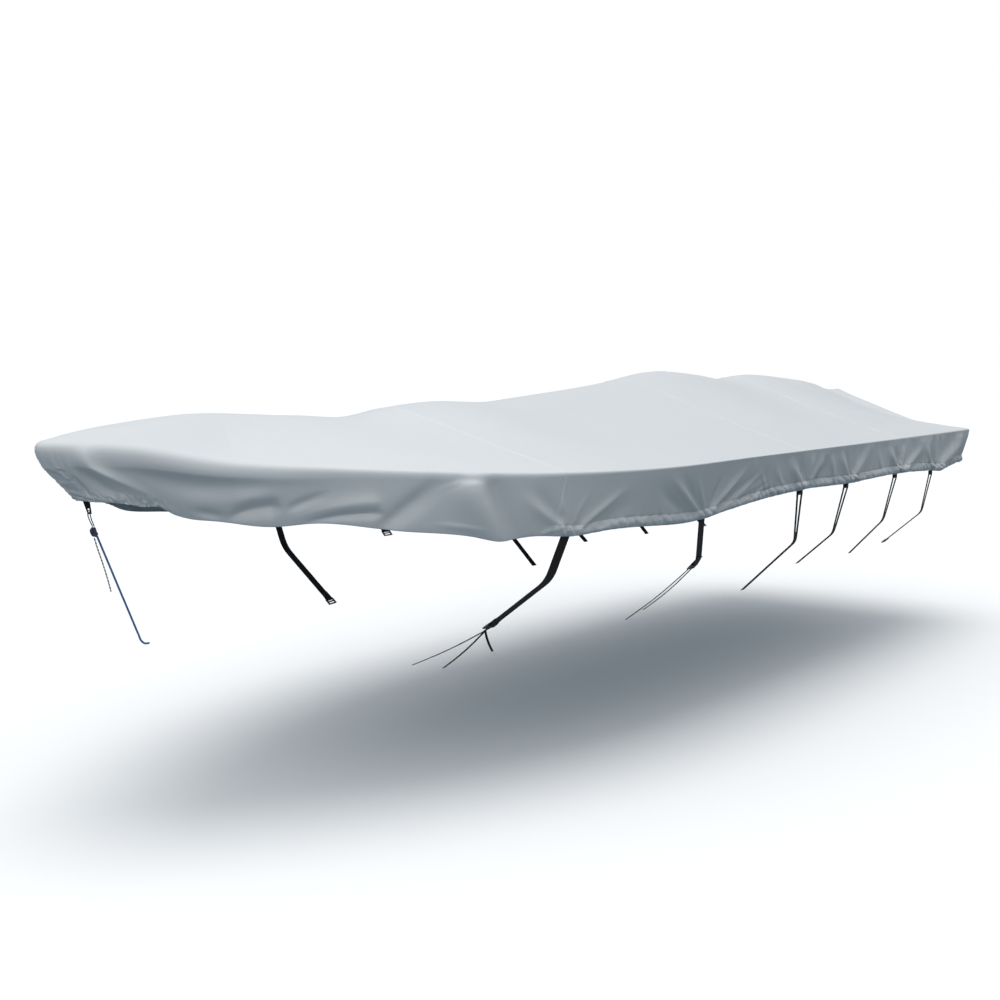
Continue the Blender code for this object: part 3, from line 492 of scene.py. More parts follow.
# %% Pulls of the port straps
STRAP_PULLS = (
    # to the first strap, from forward and from aft
    Crease(1.195, 0.056, 1.285, 0.116, 1.395, 0.174, 0.018, 0.012, FIRM),
    Crease(1.230, 0.037, 1.308, 0.095, 1.382, 0.157, 0.018, -0.009, SOFT),
    Crease(1.407, 0.182, 1.361, 0.182, 1.319, 0.196, 0.008, 0.006, FIRM),
    Crease(1.338, 0.056, 1.380, 0.114, 1.410, 0.162, 0.008, 0.004, FIRM),
    Crease(1.497, 0.045, 1.453, 0.099, 1.431, 0.165, 0.010, 0.004, FIRM),
    Crease(1.654, 0.048, 1.552, 0.112, 1.462, 0.178, 0.013, 0.010, FIRM),
    Crease(1.744, 0.069, 1.618, 0.135, 1.513, 0.191, 0.020, -0.005, SOFT),
    # the fan at the second strap
    Crease(1.791, 0.061, 1.890, 0.119, 2.013, 0.179, 0.016, -0.007, SOFT),
    Crease(1.840, 0.025, 1.948, 0.095, 2.068, 0.167, 0.012, 0.010, FIRM),
    Crease(1.916, 0.028, 1.997, 0.096, 2.075, 0.160, 0.014, -0.006, SOFT),
    Crease(2.019, 0.046, 2.064, 0.102, 2.103, 0.162, 0.007, 0.005, FIRM),
    Crease(2.207, 0.044, 2.171, 0.098, 2.144, 0.160, 0.012, -0.006, SOFT),
    Crease(2.402, 0.027, 2.267, 0.099, 2.159, 0.169, 0.012, 0.010, FIRM),
    Crease(2.478, 0.060, 2.331, 0.116, 2.205, 0.174, 0.012, -0.006, SOFT),
    Crease(2.537, 0.046, 2.390, 0.110, 2.246, 0.166, 0.008, 0.006, FIRM),
    # small slack folds between the second and the third
    Crease(2.632, 0.082, 2.425, 0.120, 2.305, 0.154, 0.008, 0.004, FIRM),
    Crease(2.596, 0.114, 2.521, 0.126, 2.473, 0.156, 0.006, 0.004, SOFT),
    Crease(2.469, 0.047, 2.520, 0.095, 2.565, 0.153, 0.007, 0.004, FIRM),
    Crease(2.589, 0.041, 2.640, 0.089, 2.691, 0.135, 0.013, 0.005, SOFT),
    # the third strap
    Crease(2.695, 0.031, 2.788, 0.087, 2.866, 0.139, 0.018, 0.011, SOFT),
    Crease(2.784, 0.027, 2.829, 0.081, 2.871, 0.135, 0.023, -0.007, SOFT),
    Crease(2.931, 0.014, 2.916, 0.064, 2.913, 0.128, 0.016, 0.009, SOFT),
    Crease(3.041, 0.025, 2.981, 0.077, 2.921, 0.135, 0.020, 0.011, SOFT),
    Crease(3.104, 0.041, 3.029, 0.095, 2.960, 0.147, 0.028, -0.007, SOFT),
    Crease(3.009, 0.026, 3.012, 0.070, 3.006, 0.118, 0.013, 0.005, SOFT),
    Crease(3.108, 0.025, 3.120, 0.071, 3.156, 0.127, 0.013, 0.007, SOFT),
    # the fourth
    Crease(3.172, 0.024, 3.244, 0.080, 3.307, 0.142, 0.018, 0.011, SOFT),
    Crease(3.226, 0.026, 3.268, 0.078, 3.307, 0.134, 0.020, -0.007, SOFT),
    Crease(3.509, 0.027, 3.413, 0.089, 3.344, 0.145, 0.020, 0.011, SOFT),
    Crease(3.594, 0.068, 3.480, 0.106, 3.399, 0.148, 0.028, -0.005, SOFT),
    Crease(3.387, 0.058, 3.366, 0.100, 3.342, 0.144, 0.013, 0.005, SOFT),
    Crease(3.597, 0.030, 3.627, 0.080, 3.669, 0.132, 0.016, 0.005, SOFT),
    # the fifth
    Crease(3.697, 0.031, 3.778, 0.085, 3.844, 0.137, 0.018, 0.011, SOFT),
    Crease(3.789, 0.027, 3.819, 0.079, 3.846, 0.131, 0.020, -0.007, SOFT),
    Crease(3.912, 0.023, 3.897, 0.077, 3.873, 0.133, 0.016, 0.011, SOFT),
    Crease(4.201, 0.051, 4.057, 0.099, 3.916, 0.143, 0.020, 0.015, SOFT),
    Crease(4.232, 0.081, 4.103, 0.121, 3.974, 0.151, 0.028, -0.008, SOFT),
    # the last, where the skirt turns the quarter
    Crease(4.171, 0.039, 4.255, 0.097, 4.339, 0.153, 0.018, 0.008, SOFT),
    Crease(4.266, 0.034, 4.305, 0.088, 4.344, 0.144, 0.020, -0.007, SOFT),
    Crease(4.930, 0.020, 4.640, 0.100, 4.419, 0.166, 0.036, 0.024, SOFT),
    Crease(4.859, 0.093, 4.721, 0.143, 4.505, 0.179, 0.030, -0.014, SOFT),
)
print("pulls on the port side:", len(STRAP_PULLS))

# %% Folds of the starboard bow, the transom and the roof
# The starboard bow falls in the same way as the port bow, but not in the same places.
STBD_BOW_FOLDS = (
    Crease(0.050, 0.020, 0.060, 0.055, 0.085, 0.120, 0.010, -0.007, CRISP),
    Crease(0.075, 0.040, 0.130, 0.080, 0.190, 0.110, 0.020, -0.010, FIRM),
    Crease(0.180, 0.050, 0.300, 0.100, 0.440, 0.130, 0.028, -0.012, SOFT),
    Crease(0.330, 0.100, 0.480, 0.078, 0.650, 0.056, 0.034, 0.011, SOFT),
    Crease(0.600, 0.140, 0.720, 0.105, 0.840, 0.070, 0.022, -0.014, FIRM),
    Crease(0.860, 0.030, 0.910, 0.100, 0.990, 0.170, 0.044, 0.013, SOFT),
    Crease(1.040, 0.030, 1.080, 0.090, 1.140, 0.165, 0.036, -0.011, SOFT),
    Crease(1.180, 0.040, 1.290, 0.105, 1.390, 0.165, 0.023, 0.012, CRISP),
)
# Across the transom, placed by distance from the middle.
TRANSOM_CREASES = (
    Crease(0.560, 0.025, 0.610, 0.080, 0.670, 0.130, 0.028, 0.010, FIRM),
    Crease(0.450, 0.030, 0.500, 0.090, 0.580, 0.150, 0.030, -0.009, SOFT),
    Crease(0.330, 0.050, 0.360, 0.120, 0.400, 0.190, 0.034, 0.008, SOFT),
    Crease(0.120, 0.080, 0.160, 0.150, 0.220, 0.250, 0.040, -0.009, SOFT),
    Crease(0.020, 0.060, 0.040, 0.150, 0.060, 0.260, 0.030, 0.007, FIRM),
)
# Slack on the roof, by station and distance from the centre line (port is negative).
ROOF_CREASES = (
    Crease(0.420, -0.170, 0.700, -0.300, 1.050, -0.400, 0.022, 0.0022, SOFT),
    Crease(0.600, -0.320, 0.900, -0.440, 1.280, -0.540, 0.020, 0.0020, FIRM),
    Crease(0.850, -0.360, 1.080, -0.440, 1.330, -0.490, 0.016, 0.0016, FIRM),
    Crease(0.950, -0.540, 1.150, -0.600, 1.345, -0.640, 0.018, 0.0018, FIRM),
    Crease(1.000, -0.250, 1.180, -0.300, 1.350, -0.330, 0.020, 0.0016, SOFT),
    Crease(0.500, 0.200, 0.850, 0.360, 1.250, 0.470, 0.022, 0.0022, SOFT),
    Crease(2.900, -0.620, 3.150, -0.500, 3.400, -0.350, 0.030, 0.0020, SOFT),
    Crease(1.450, -0.600, 1.700, -0.520, 2.000, -0.460, 0.030, 0.0016, SOFT),
    Crease(3.900, -0.420, 4.250, -0.520, 4.700, -0.640, 0.034, 0.0040, SOFT),
    Crease(4.100, -0.150, 4.400, -0.350, 4.760, -0.600, 0.034, -0.0040, SOFT),
)
print("folds:", len(STBD_BOW_FOLDS), "starboard bow,", len(TRANSOM_CREASES), "transom,",
      len(ROOF_CREASES), "roof")

# %% [markdown]
# The starboard side is seen from further away, so its folds come from a rule instead. Each
# strap pulls a fan of ridges up from the hem, two long and two short, with a shallow trough
# between each pair, and a seeded draw settles how far each one reaches.

# %% The fans of the starboard straps
STRAP_STATIONS = (1.434, 2.126, 2.880, 3.323, 3.861, 4.355)
FAN_RIDGES = ((0.24, 0.010, CRISP), (0.10, 0.005, FIRM), (0.17, -0.006, SOFT))  # reach, height
FAN_WIDTH = 0.010
FAN_FOOT = 0.04               # above the hem
FAN_SEED = 7


def strap_fan(station, depth, draw):
    """Ridges and troughs that fan up from a strap's foot, forward and aft."""
    fan = []
    for way in (-1, 1):
        for reach, height, crest in FAN_RIDGES:
            long = reach * (1 + 0.3 * draw.uniform(-1, 1))
            foot = station + way * (0.02 + 0.1 * reach)
            top = 0.025 + 0.03 * draw.random()
            middle = depth * 0.5 + 0.01 * draw.uniform(-1, 1)
            fan.append(Crease(foot + way * long, top, foot + way * long * 0.5, middle,
                              foot, depth - FAN_FOOT, FAN_WIDTH, height, crest))
    return fan


draw = np.random.default_rng(FAN_SEED)
STBD_PULLS = []
for station in STRAP_STATIONS:
    STBD_PULLS += strap_fan(station, float(smooth_read(STBD_DROP, "drop", station)), draw)
print("starboard pulls:", len(STBD_PULLS))


# %% Adding up the creases
CURVE_STEPS = 8
MARGIN = 4                    # widths to either side, past which a crease is flat
FAR = 9.0
# How a crease fades: the share of its length it takes to rise and to fall, each with how
# far it has come by the very end. Pulled ones run from a faint wide top to a crisp foot.
FADES = {"pulled": (0.65, 0.10, 0.10, 0.50), "firm": (0.60, 0.08, 0.20, 0.08),
         "soft": (0.50, 0.08, 0.50, 0.08)}


def crease_height(xs, ys, creases, place=lambda value: value, pulled=False):
    """Sum of the heights of creases that each follow a curve through three points."""
    total = np.zeros_like(xs)
    for crease in creases:
        corners = np.array([(place(crease.s0), crease.d0), (place(crease.s1), crease.d1),
                            (place(crease.s2), crease.d2)])
        start, middle, end = corners
        bend = 2 * middle - (start + end) / 2
        low = corners.min(axis=0) - MARGIN * crease.width
        high = corners.max(axis=0) + MARGIN * crease.width
        near = (xs > low[0]) & (xs < high[0]) & (ys > low[1]) & (ys < high[1])
        if not near.any():
            continue
        x, y = xs[near], ys[near]
        t = np.linspace(0, 1, CURVE_STEPS + 1)[:, None]
        line = start * (1 - t) ** 2 + bend * 2 * t * (1 - t) + end * t * t
        best = np.full(x.shape, FAR)
        along = np.zeros(x.shape)
        for step in range(CURVE_STEPS):
            a, b = line[step], line[step + 1]
            way = b - a
            u = np.clip(((x - a[0]) * way[0] + (y - a[1]) * way[1]) / (way @ way), 0, 1)
            away = np.hypot(x - a[0] - u * way[0], y - a[1] - u * way[1])
            closer = away < best
            best = np.where(closer, away, best)
            along = np.where(closer, (step + u) / CURVE_STEPS, along)
        kind = "pulled" if pulled else "firm" if crease.crisp < SOFT else "soft"
        rise, risen, fall, fallen = FADES[kind]
        ends = smooth_step(along / rise + risen) * smooth_step((1 - along) / fall + fallen)
        spread = {"pulled": 1.5 - 0.6 * along, "firm": 0.6 + 0.4 * ends, "soft": 1}[kind]
        profile = np.exp(-(best / (crease.width * spread)) ** crease.crisp)
        total[near] += crease.height * ends * profile
    return total


probe = crease_height(np.array([arc_at(0.688)]), np.array([0.120]), BOW_FOLDS, arc_at)
print("depth of the long crease:", round(float(probe[0]) * 1000, 1), "mm")

# %% [markdown]
# ## Puckers and slack
#
# Between the big folds the cloth is never quite flat. A smooth random field, seeded so that
# it is the same each time, gives slow waves on the roof and small puckers where stitching
# or the drawstring draws the cloth together.

# %% Soft random fields
CELLS = 64                    # the field repeats after this many


def soft_noise(x, y, seed):
    """A smooth random field with unit cells, from about -1 to 1."""
    lattice = np.random.default_rng(seed).uniform(-1, 1, (CELLS, CELLS))
    cell_x, cell_y = np.floor(x).astype(int), np.floor(y).astype(int)
    u, v = smooth_step(x - cell_x), smooth_step(y - cell_y)
    total = 0
    for up, share_y in ((0, 1 - v), (1, v)):
        for on, share_x in ((0, 1 - u), (1, u)):
            corner = lattice[(cell_x + on) % CELLS, (cell_y + up) % CELLS]
            total = total + corner * share_x * share_y
    return total


print("the field at one place:", soft_noise(np.array([0.5]), np.array([0.5]), FAN_SEED).round(3))

# %% [markdown]
# ## Hem and seams
#
# The hem is folded up over its drawstring and stitched, so it stands out as a soft tube.
# The drawstring gathers it into round lumps with sharp little valleys, more so at each
# strap. Forward of the first seam it is only rolled, and round the stem it is bunched up.
# The felled seams pucker a little beside their stitching. All of these are heights that are
# worked out from the place on the cloth, so no part of them has to be modelled twice.

# %% Hem, puckers and seams
HEM_BAND = 0.037              # from the drawstring's stitching down to the hem
BAND_SWELL = 0.0125           # how far the cord's channel stands out
BAND_START = ARC_SEAMS[0]     # forward of here the hem is only rolled
PUCKER_LENGTH = 0.040         # from one pucker to the next
PUCKER_SLANT = 0.95
PUCKER_SIZE = 0.0130
VALLEY = 0.17                 # half width of the valley between two puckers, as a share
GROOVE, GROOVE_HALF = -0.0016, 0.0026         # along the channel's stitching
BEAD, BEAD_HALF, BEAD_ABOVE = 0.0012, 0.0035, 0.004   # along the hem's fold
STRAP_GATHER, STRAP_GATHER_HALF = 0.7, 0.035  # straps bunch the hem a little more
STEM_CRUMPLE = 0.0070
SEAM_HALF = 0.009             # half the width of a felled seam
SEAM_RISE = 0.0014
SEAM_PUCKER = 0.0008
LAP = 0.008                   # how far a panel laps over the one before it
STRAP_ARCS = [float(arc_at(station)) for station in STRAP_STATIONS]


def band_strength(arc):
    """1 where the hem has its stitched channel, nearly nothing at the bow."""
    return 0.05 + 0.95 * smooth_step((arc - BAND_START + 0.03) / 0.06)


def pucker_waves(arc, above, side):
    """Slanted gathers: round lumps of uneven size with sharp little valleys between."""
    phase = (arc + PUCKER_SLANT * above) / PUCKER_LENGTH
    phase = phase + 0.9 * soft_noise(arc / 0.14, above / 0.12 + 3, 11 + side)
    away = 0.5 - abs(phase - np.floor(phase) - 0.5)
    lump = 1 - np.exp(-(away / VALLEY) ** 1.5)
    uneven = 0.6 + 0.55 * soft_noise(np.floor(phase) * 3.0, 0 * phase + 7, 31 + side)
    return uneven * lump - 0.3 + 0.35 * soft_noise(arc / 0.015, above / 0.012, 32 + side)


def crumple(arc, above):
    """Small crumples where the cloth is bunched round the stem and along its hem."""
    grain = soft_noise(arc / 0.009 + 8, above / 0.007, 61)
    grain += 0.5 * soft_noise(arc / 0.019 + 8, above / 0.016, 62)
    along_hem = np.exp(-(arc / 0.30) ** 4) * np.exp(-(above / 0.030) ** 4)
    on_stem = 0.7 * np.exp(-(arc / 0.035) ** 2)
    return STEM_CRUMPLE * grain * np.maximum(along_hem, on_stem)


def hem_relief(arc, above, side):
    """The drawstring's channel and its puckers, at a height above the hem."""
    strength = band_strength(arc)
    share = np.clip(1 - above / HEM_BAND, 0, 1)
    swell = BAND_SWELL * np.sin(math.pi * share ** 1.5) ** 0.8
    groove = GROOVE * np.exp(-((above - HEM_BAND) / GROOVE_HALF) ** 2)
    bead = BEAD * np.exp(-((above - BEAD_ABOVE) / BEAD_HALF) ** 2)
    gathered = 0.55 + 0.45 * soft_noise(arc / 0.19, 0 * arc + 5.5, 41 + side)
    for strap in STRAP_ARCS:
        gathered = gathered + STRAP_GATHER * np.exp(-((arc - strap) / STRAP_GATHER_HALF) ** 2)
    swell = swell * (0.75 + 0.35 * soft_noise(arc / 0.11, 0 * arc + 2.5, 42 + side))
    size = PUCKER_SIZE * gathered * strength
    inside = 0.35 + 0.65 * np.sin(math.pi * np.clip(share * 0.85 + 0.15, 0, 1)) ** 0.7
    beyond = np.exp(-np.clip(above - HEM_BAND, 0, 9) / (0.010 + 0.012 * gathered))
    reach = np.where(above < HEM_BAND, inside, 0.35 * beyond)
    return strength * (swell + groove + bead) + size * pucker_waves(arc, above, side) * reach


def seam_relief(from_seam, along, seed):
    """Small puckers beside a felled seam."""
    waves = soft_noise(along / 0.030, from_seam / 0.05 + 9, seed)
    return SEAM_PUCKER * waves * np.exp(-(from_seam / 0.020) ** 2)


print("hem channel", HEM_BAND * 1000, "mm deep; felled seams", 2000 * SEAM_HALF, "mm wide")

# %% [markdown]
# ## The finished surface
#
# Now the tight ribs and all the relief come together. One function gives the points of any
# patch of the cover, from the ridge to the hem, so the panels and the stitching that runs
# over them are sure to agree. Rows are close together where the cloth turns: over the edge
# and through the hem's channel.

# %% Points of a patch
ROOF_SHARES = 1 - (1 - np.linspace(0, 1, 25)) ** 1.15
BEND_SHARES = (0.17, 0.34, 0.5, 0.66, 0.83)
UPPER_SHARES = np.linspace(0, 1, 21)
HEM_TOP = 0.046
HEM_ABOVE = (0.0420, 0.0395, 0.0378, 0.0362, 0.0345, 0.0310, 0.0265, 0.0215, 0.0165, 0.0120,
             0.0080, 0.0048, 0.0024, 0.0009, 0.0)
HEM_CURL = 0.0016             # the hem's last millimetres turn in by this much
EDGE_FULLNESS = 0.22          # how far the edge stands out past its curve, in radii
SLOW_WAVES, QUICK_WAVES = 0.0016, 0.0006      # on the roof
SIDE_WAVES, SIDE_RIPPLE, AFT_WRINKLES = 0.0020, 0.0006, 0.0042
UP = np.array([0, 0, 1.0])
# The double-cloth mask is painted paler: partly the doubled cloth, partly painted highlight on the
# seams' welts and the hem's tube.
Patch = namedtuple("Patch", "points relief layers girth")
print("rows on the roof, bend and skirt:", len(ROOF_SHARES), len(BEND_SHARES),
      len(UPPER_SHARES) + len(HEM_ABOVE))

# %% Relief of the roof and the skirt


def seam_rise(arc, panel):
    """How far a panel's forward border stands up over the felled seam: a soft welt."""
    if panel == 0:
        return 0 * arc
    from_seam = arc - ARC_SEAMS[panel - 1]
    rise = smooth_step((from_seam + LAP) / 0.004) - smooth_step((from_seam - 0.0055) / 0.0035)
    return SEAM_RISE * rise - 0.0002 * (from_seam < 0)


def all_seams_relief(arc, along, side):
    """The puckers beside all the seams together."""
    total = 0 * arc
    for number, seam in enumerate(ARC_SEAMS):
        total = total + seam_relief(arc - seam, along, 60 + number * 2 + (side > 0))
    return total


def roof_relief(points, arc):
    """Slack, slow waves and seam puckers on the roof."""
    station, across = points[:, 0] + BOAT_LENGTH / 2, points[:, 1]
    relief = crease_height(station, across, ROOF_CREASES)
    relief += SLOW_WAVES * soft_noise(station / 0.33, across / 0.22 + 7, 3)
    relief += QUICK_WAVES * soft_noise(station / 0.11, across / 0.09 + 7, 4)
    return relief + all_seams_relief(arc, across, -1)


def skirt_relief(ribs, drop):
    """Folds, waves, hem and seam puckers on the skirt."""
    arc, side = ribs.arc, ribs.side
    above = ribs.drop - drop
    bow_folds, pulls = (BOW_FOLDS, STRAP_PULLS) if side < 0 else (STBD_BOW_FOLDS, STBD_PULLS)
    folds = crease_height(arc, drop, bow_folds, arc_at) * smooth_step(arc / 0.04)
    folds += crease_height(arc, drop, pulls, arc_at, pulled=True)
    aft = smooth_step((arc - ARC_SEAMS[0] - 0.6) / 0.5)
    folds += SIDE_WAVES * soft_noise(arc / 0.16, drop / 0.12 + 2, 21 + side)
    folds += SIDE_RIPPLE * soft_noise(arc / 0.040, drop / 0.14 + 2, 24 + side)
    wrinkles = soft_noise(arc / 0.042 + drop / 0.25, drop / 0.20 + 2, 26 + side)
    strength = 0.6 + 0.4 * soft_noise(arc / 0.4, 0 * arc + 9, 27 + side)
    folds += AFT_WRINKLES * aft * strength * wrinkles
    past_corner = smooth_step((arc - ARC_CORNER) / 0.05)
    across = crease_height(ribs.breadth, drop, TRANSOM_CREASES) * smooth_step(ribs.breadth / 0.05)
    ends = smooth_step(arc / 0.03) * smooth_step((ARC_END - arc) / 0.03)
    relief = (folds * (1 - past_corner) + across * past_corner) * ends
    relief *= smooth_step((drop - 0.002) / 0.034)
    relief += hem_relief(arc, above, side) * ends + all_seams_relief(arc, drop + 1, side)
    return relief + crumple(arc, above) * smooth_step(drop / 0.03)


relief_here = skirt_relief(test_ribs, test_ribs.drop / 2)
print("relief half way down the skirt:", (relief_here * 1000).round(1), "mm")


# %% Rows of points
def make_patch(arcs, side, panel):
    """All rows of points, ridge to hem, for ribs at these lengths along the edge."""
    ribs = Ribs(arcs, side)
    rise = seam_rise(ribs.arc, panel)[:, None]
    span = np.linalg.norm((ribs.edge - ribs.ridge)[:, :2], axis=1)
    bend_start = 1 - ribs.radius / span
    rows, relief, layers = [], [], []
    from_seam = np.min([abs(ribs.arc - seam) for seam in ARC_SEAMS], axis=0)
    doubled = np.exp(-(from_seam / SEAM_HALF) ** 6)
    for share in ROOF_SHARES:
        points = ribs.roof(share * bend_start)
        bump = roof_relief(points, ribs.arc) * smooth_step((1 - share) / 0.06)
        rows.append(points + UP * bump[:, None] + UP * rise)
        relief.append(bump)
        layers.append(doubled)
    roof_end = ribs.roof(bend_start)
    skirt_start = ribs.skirt(ribs.radius)
    skirt_start += ribs.normal * skirt_relief(ribs, ribs.radius)[:, None]
    corner = ribs.edge + (ribs.normal + UP) * (EDGE_FULLNESS * ribs.radius)[:, None]
    for t in BEND_SHARES:
        points = roof_end * (1 - t) ** 2 + corner * (2 * t * (1 - t)) + skirt_start * t * t
        outward = UP * (1 - t) + ribs.normal * t
        rows.append(points + outward * rise / math.hypot(1 - t, t))
        relief.append(0 * ribs.arc)
        layers.append(doubled)
    upper_end = ribs.drop - HEM_TOP
    drops = [ribs.radius + share * (upper_end - ribs.radius) for share in UPPER_SHARES]
    drops += [ribs.drop - above for above in HEM_ABOVE]
    for drop in drops:
        bump = skirt_relief(ribs, drop)
        above = ribs.drop - drop
        curl = HEM_CURL * np.clip(1 - above / 0.003, 0, 1) ** 2
        rows.append(ribs.skirt(drop) + ribs.normal * (bump - curl)[:, None] + ribs.normal * rise)
        relief.append(bump)
        # Where the hem's channel lies double; its paler tone is partly painted highlight.
        band = smooth_step((HEM_BAND - above) / 0.003) * band_strength(ribs.arc)
        layers.append(np.maximum(doubled, band))
    rows = np.array(rows)
    steps = np.linalg.norm(np.diff(rows, axis=0), axis=2)
    girth = np.concatenate([np.zeros((1, len(arcs))), np.cumsum(steps, axis=0)])
    return Patch(rows, np.array(relief), np.array(layers), girth)


sample = make_patch([0.5, 1.0], -1, 0)
print("rows from ridge to hem:", len(sample.points), "- half girth",
      sample.girth[-1].round(3), "m")

# %% [markdown]
# ## Cloth finish
#
# The cloth is 600-denier polyester with a coating: a tight plain weave, matt, with a faint
# sheen where it turns. Four things make it more than flat grey: the weave itself as a fine
# bump, a slow mottling from weather and handling, a slightly paler tone where the cloth lies
# double, which is partly painted highlight for the light that the seams and the hem's tube
# catch, and painted shade and light that follow the folds, darker in each trough and paler
# on each ridge. The weave and the mottling are shader groups, so that every finish on the
# cover can use them with its own values. A picture of cloth could do it too, but it would
# repeat, and it would blur up close.

# %% Shader groups
def blend(tree, base, *parts):
    """A base number plus each socket times its weight."""
    total = base
    for socket, weight in parts:
        total = maths(tree, "MULTIPLY_ADD", socket, weight, total)
    return total


def new_group(name, output, **numbers):
    """An empty shader group: a place and these numbers go in, and one number comes out."""
    group = bpy.data.node_groups.new(name, "ShaderNodeTree")
    group.interface.new_socket("Place", in_out="INPUT", socket_type="NodeSocketVector")
    for label, value in numbers.items():
        socket = group.interface.new_socket(label, in_out="INPUT", socket_type="NodeSocketFloat")
        socket.default_value = value
    group.interface.new_socket(output, in_out="OUTPUT", socket_type="NodeSocketFloat")
    return group, group.nodes.new("NodeGroupInput").outputs


def make_weave_group():
    """Plain weave: threads that go over and under each other, as a height from 0 to 1."""
    group, given = new_group("plain_weave", "Height", Pitch=0.001)
    split = node(group, "ShaderNodeSeparateXYZ", i0=given["Place"])
    turns = [maths(group, "MULTIPLY", maths(group, "DIVIDE", axis, given["Pitch"]), math.pi)
             for axis in split.outputs[:2]]
    warp, weft = (maths(group, "SINE", turn) for turn in turns)
    over = maths(group, "MULTIPLY", warp, weft)
    threads = maths(group, "ADD", maths(group, "ABSOLUTE", warp), maths(group, "ABSOLUTE", weft))
    node(group, "NodeGroupOutput", Height=blend(group, 0.0, (over, 0.3), (threads, 0.35)))
    return group


def make_mottle_group():
    """Slow patches over fine grain, from -1 to 1."""
    group, given = new_group("mottle", "Value", Patch=0.3)
    scale = maths(group, "DIVIDE", 1.0, given["Patch"])
    slow = node(group, "ShaderNodeTexNoise", Vector=given["Place"], Scale=scale, Detail=3.0,
                Roughness=0.55).outputs["Fac"]
    fine = node(group, "ShaderNodeTexNoise", Vector=given["Place"],
                Scale=maths(group, "MULTIPLY", scale, 9.0), Detail=2.0).outputs["Fac"]
    node(group, "NodeGroupOutput", Value=blend(group, -1.0, (slow, 1.5), (fine, 0.5)))
    return group


WEAVE = make_weave_group()
MOTTLE = make_mottle_group()
print("shader groups:", WEAVE.name, "and", MOTTLE.name)


# %% Cloth
CLOTH_COLOURS = ((0.548, 0.568, 0.580), (0.645, 0.662, 0.672))
WEAVE_PITCH = 0.0011


def metres_of(tree):
    """Texture lengths in metres, from the piece's own map."""
    return node(tree, "ShaderNodeUVMap", {"uv_map": "metres"}).outputs[0]


def place_of(tree):
    """Places in the piece's own space."""
    return node(tree, "ShaderNodeTexCoord").outputs["Object"]


def stored(tree, name):
    """A number stored at each point of the mesh."""
    return node(tree, "ShaderNodeAttribute", {"attribute_name": name}).outputs["Fac"]


def pattern(tree, group, **inputs):
    """What a shader group gives for these inputs."""
    return node(tree, "ShaderNodeGroup", {"node_tree": group}, **inputs).outputs[0]


def add_colour(tree, shader, colours, share):
    """Colour the shader between a dark and a light tone."""
    dark, light = colours
    mix = node(tree, "ShaderNodeMix", {"data_type": "RGBA"}, i0=share, i6=(*dark, 1),
               i7=(*light, 1))
    tree.links.new(mix.outputs[2], shader.inputs["Base Color"])


def add_relief(tree, shader, strength, distance, height, **under):
    """Fine relief from a height, over another one if there is one."""
    bump = node(tree, "ShaderNodeBump", Strength=strength, Distance=distance, Height=height,
                **under)
    tree.links.new(bump.outputs[0], shader.inputs["Normal"])


def make_cloth_material():
    """Coated polyester: weave, mottling, paler double cloth (partly painted highlight), painted
    fold shade.
    """
    material, tree, shader = new_material("cover_cloth_finish", Roughness=0.66, Sheen_Weight=0.08,
                                          Sheen_Roughness=0.5, Specular_IOR_Level=0.35)
    weave = pattern(tree, WEAVE, Place=metres_of(tree), Pitch=WEAVE_PITCH)
    mottle = pattern(tree, MOTTLE, Place=place_of(tree), Patch=0.45)
    # The tone is partly painted light: paler where the cloth lies double (partly painted
    # highlight), darker in fold troughs and paler on ridges (painted shade and painted light).
    add_colour(tree, shader, CLOTH_COLOURS,
               blend(tree, 0.5, (mottle, 0.20), (stored(tree, "layers"), 0.25),
                     (stored(tree, "relief"), 0.12), (weave, 0.06)))
    tree.links.new(blend(tree, 0.64, (mottle, 0.05)), shader.inputs["Roughness"])
    crumple = node(tree, "ShaderNodeTexNoise", Vector=place_of(tree), Scale=34.0, Detail=3.0)
    soft = node(tree, "ShaderNodeBump", Strength=0.10, Distance=0.004,
                Height=crumple.outputs["Fac"])
    add_relief(tree, shader, 0.25, 0.0003, weave, Normal=soft.outputs[0])
    return material


cloth_finish = make_cloth_material()
print("finish:", cloth_finish.name)

# %% [markdown]
# ## Webbing, plastic, cord and thread
#
# The small parts are dark, and show mostly by their sheen and their fine relief. Webbing has
# ribs along it, crossed by a herringbone, and a cord has yarns that wind round it, so both
# read the piece's own lengths in metres and their pattern follows every bend. The buckles'
# moulded plastic and the thread have no direction to follow, and read their place instead.

# %% Webbing
WEBBING_COLOURS = ((0.0025, 0.0027, 0.0035), (0.011, 0.012, 0.014))
WEBBING_RIB, WEBBING_PICK = 0.0031, 0.0016
FULL_TURN = 2 * math.pi


def ripples(tree, length, period):
    """A sine along a length."""
    return maths(tree, "SINE", maths(tree, "MULTIPLY", length, FULL_TURN / period))


def make_webbing_material():
    """Black webbing: ribs along the strap, crossed by a fine herringbone."""
    material, tree, shader = new_material("webbing_finish", Roughness=0.72, Sheen_Weight=0.03,
                                          Specular_IOR_Level=0.12)
    metres = metres_of(tree)
    across, along = node(tree, "ShaderNodeSeparateXYZ", i0=metres).outputs[:2]
    ribs = ripples(tree, across, WEBBING_RIB)
    picks = ripples(tree, blend(tree, along, (ribs, 0.0006)), WEBBING_PICK)
    height = blend(tree, 0.0, (ribs, 0.6), (picks, 0.4))
    mottle = pattern(tree, MOTTLE, Place=metres, Patch=0.06)
    add_colour(tree, shader, WEBBING_COLOURS, blend(tree, 0.45, (height, 0.18), (mottle, 0.3)))
    add_relief(tree, shader, 0.5, 0.0004, height)
    return material


webbing_finish = make_webbing_material()
print("finish:", webbing_finish.name)

# %% Plastic and thread
PLASTIC_COLOURS = ((0.008, 0.008, 0.009), (0.020, 0.020, 0.022))
THREAD_COLOURS = ((0.60, 0.62, 0.63), (0.72, 0.74, 0.75))


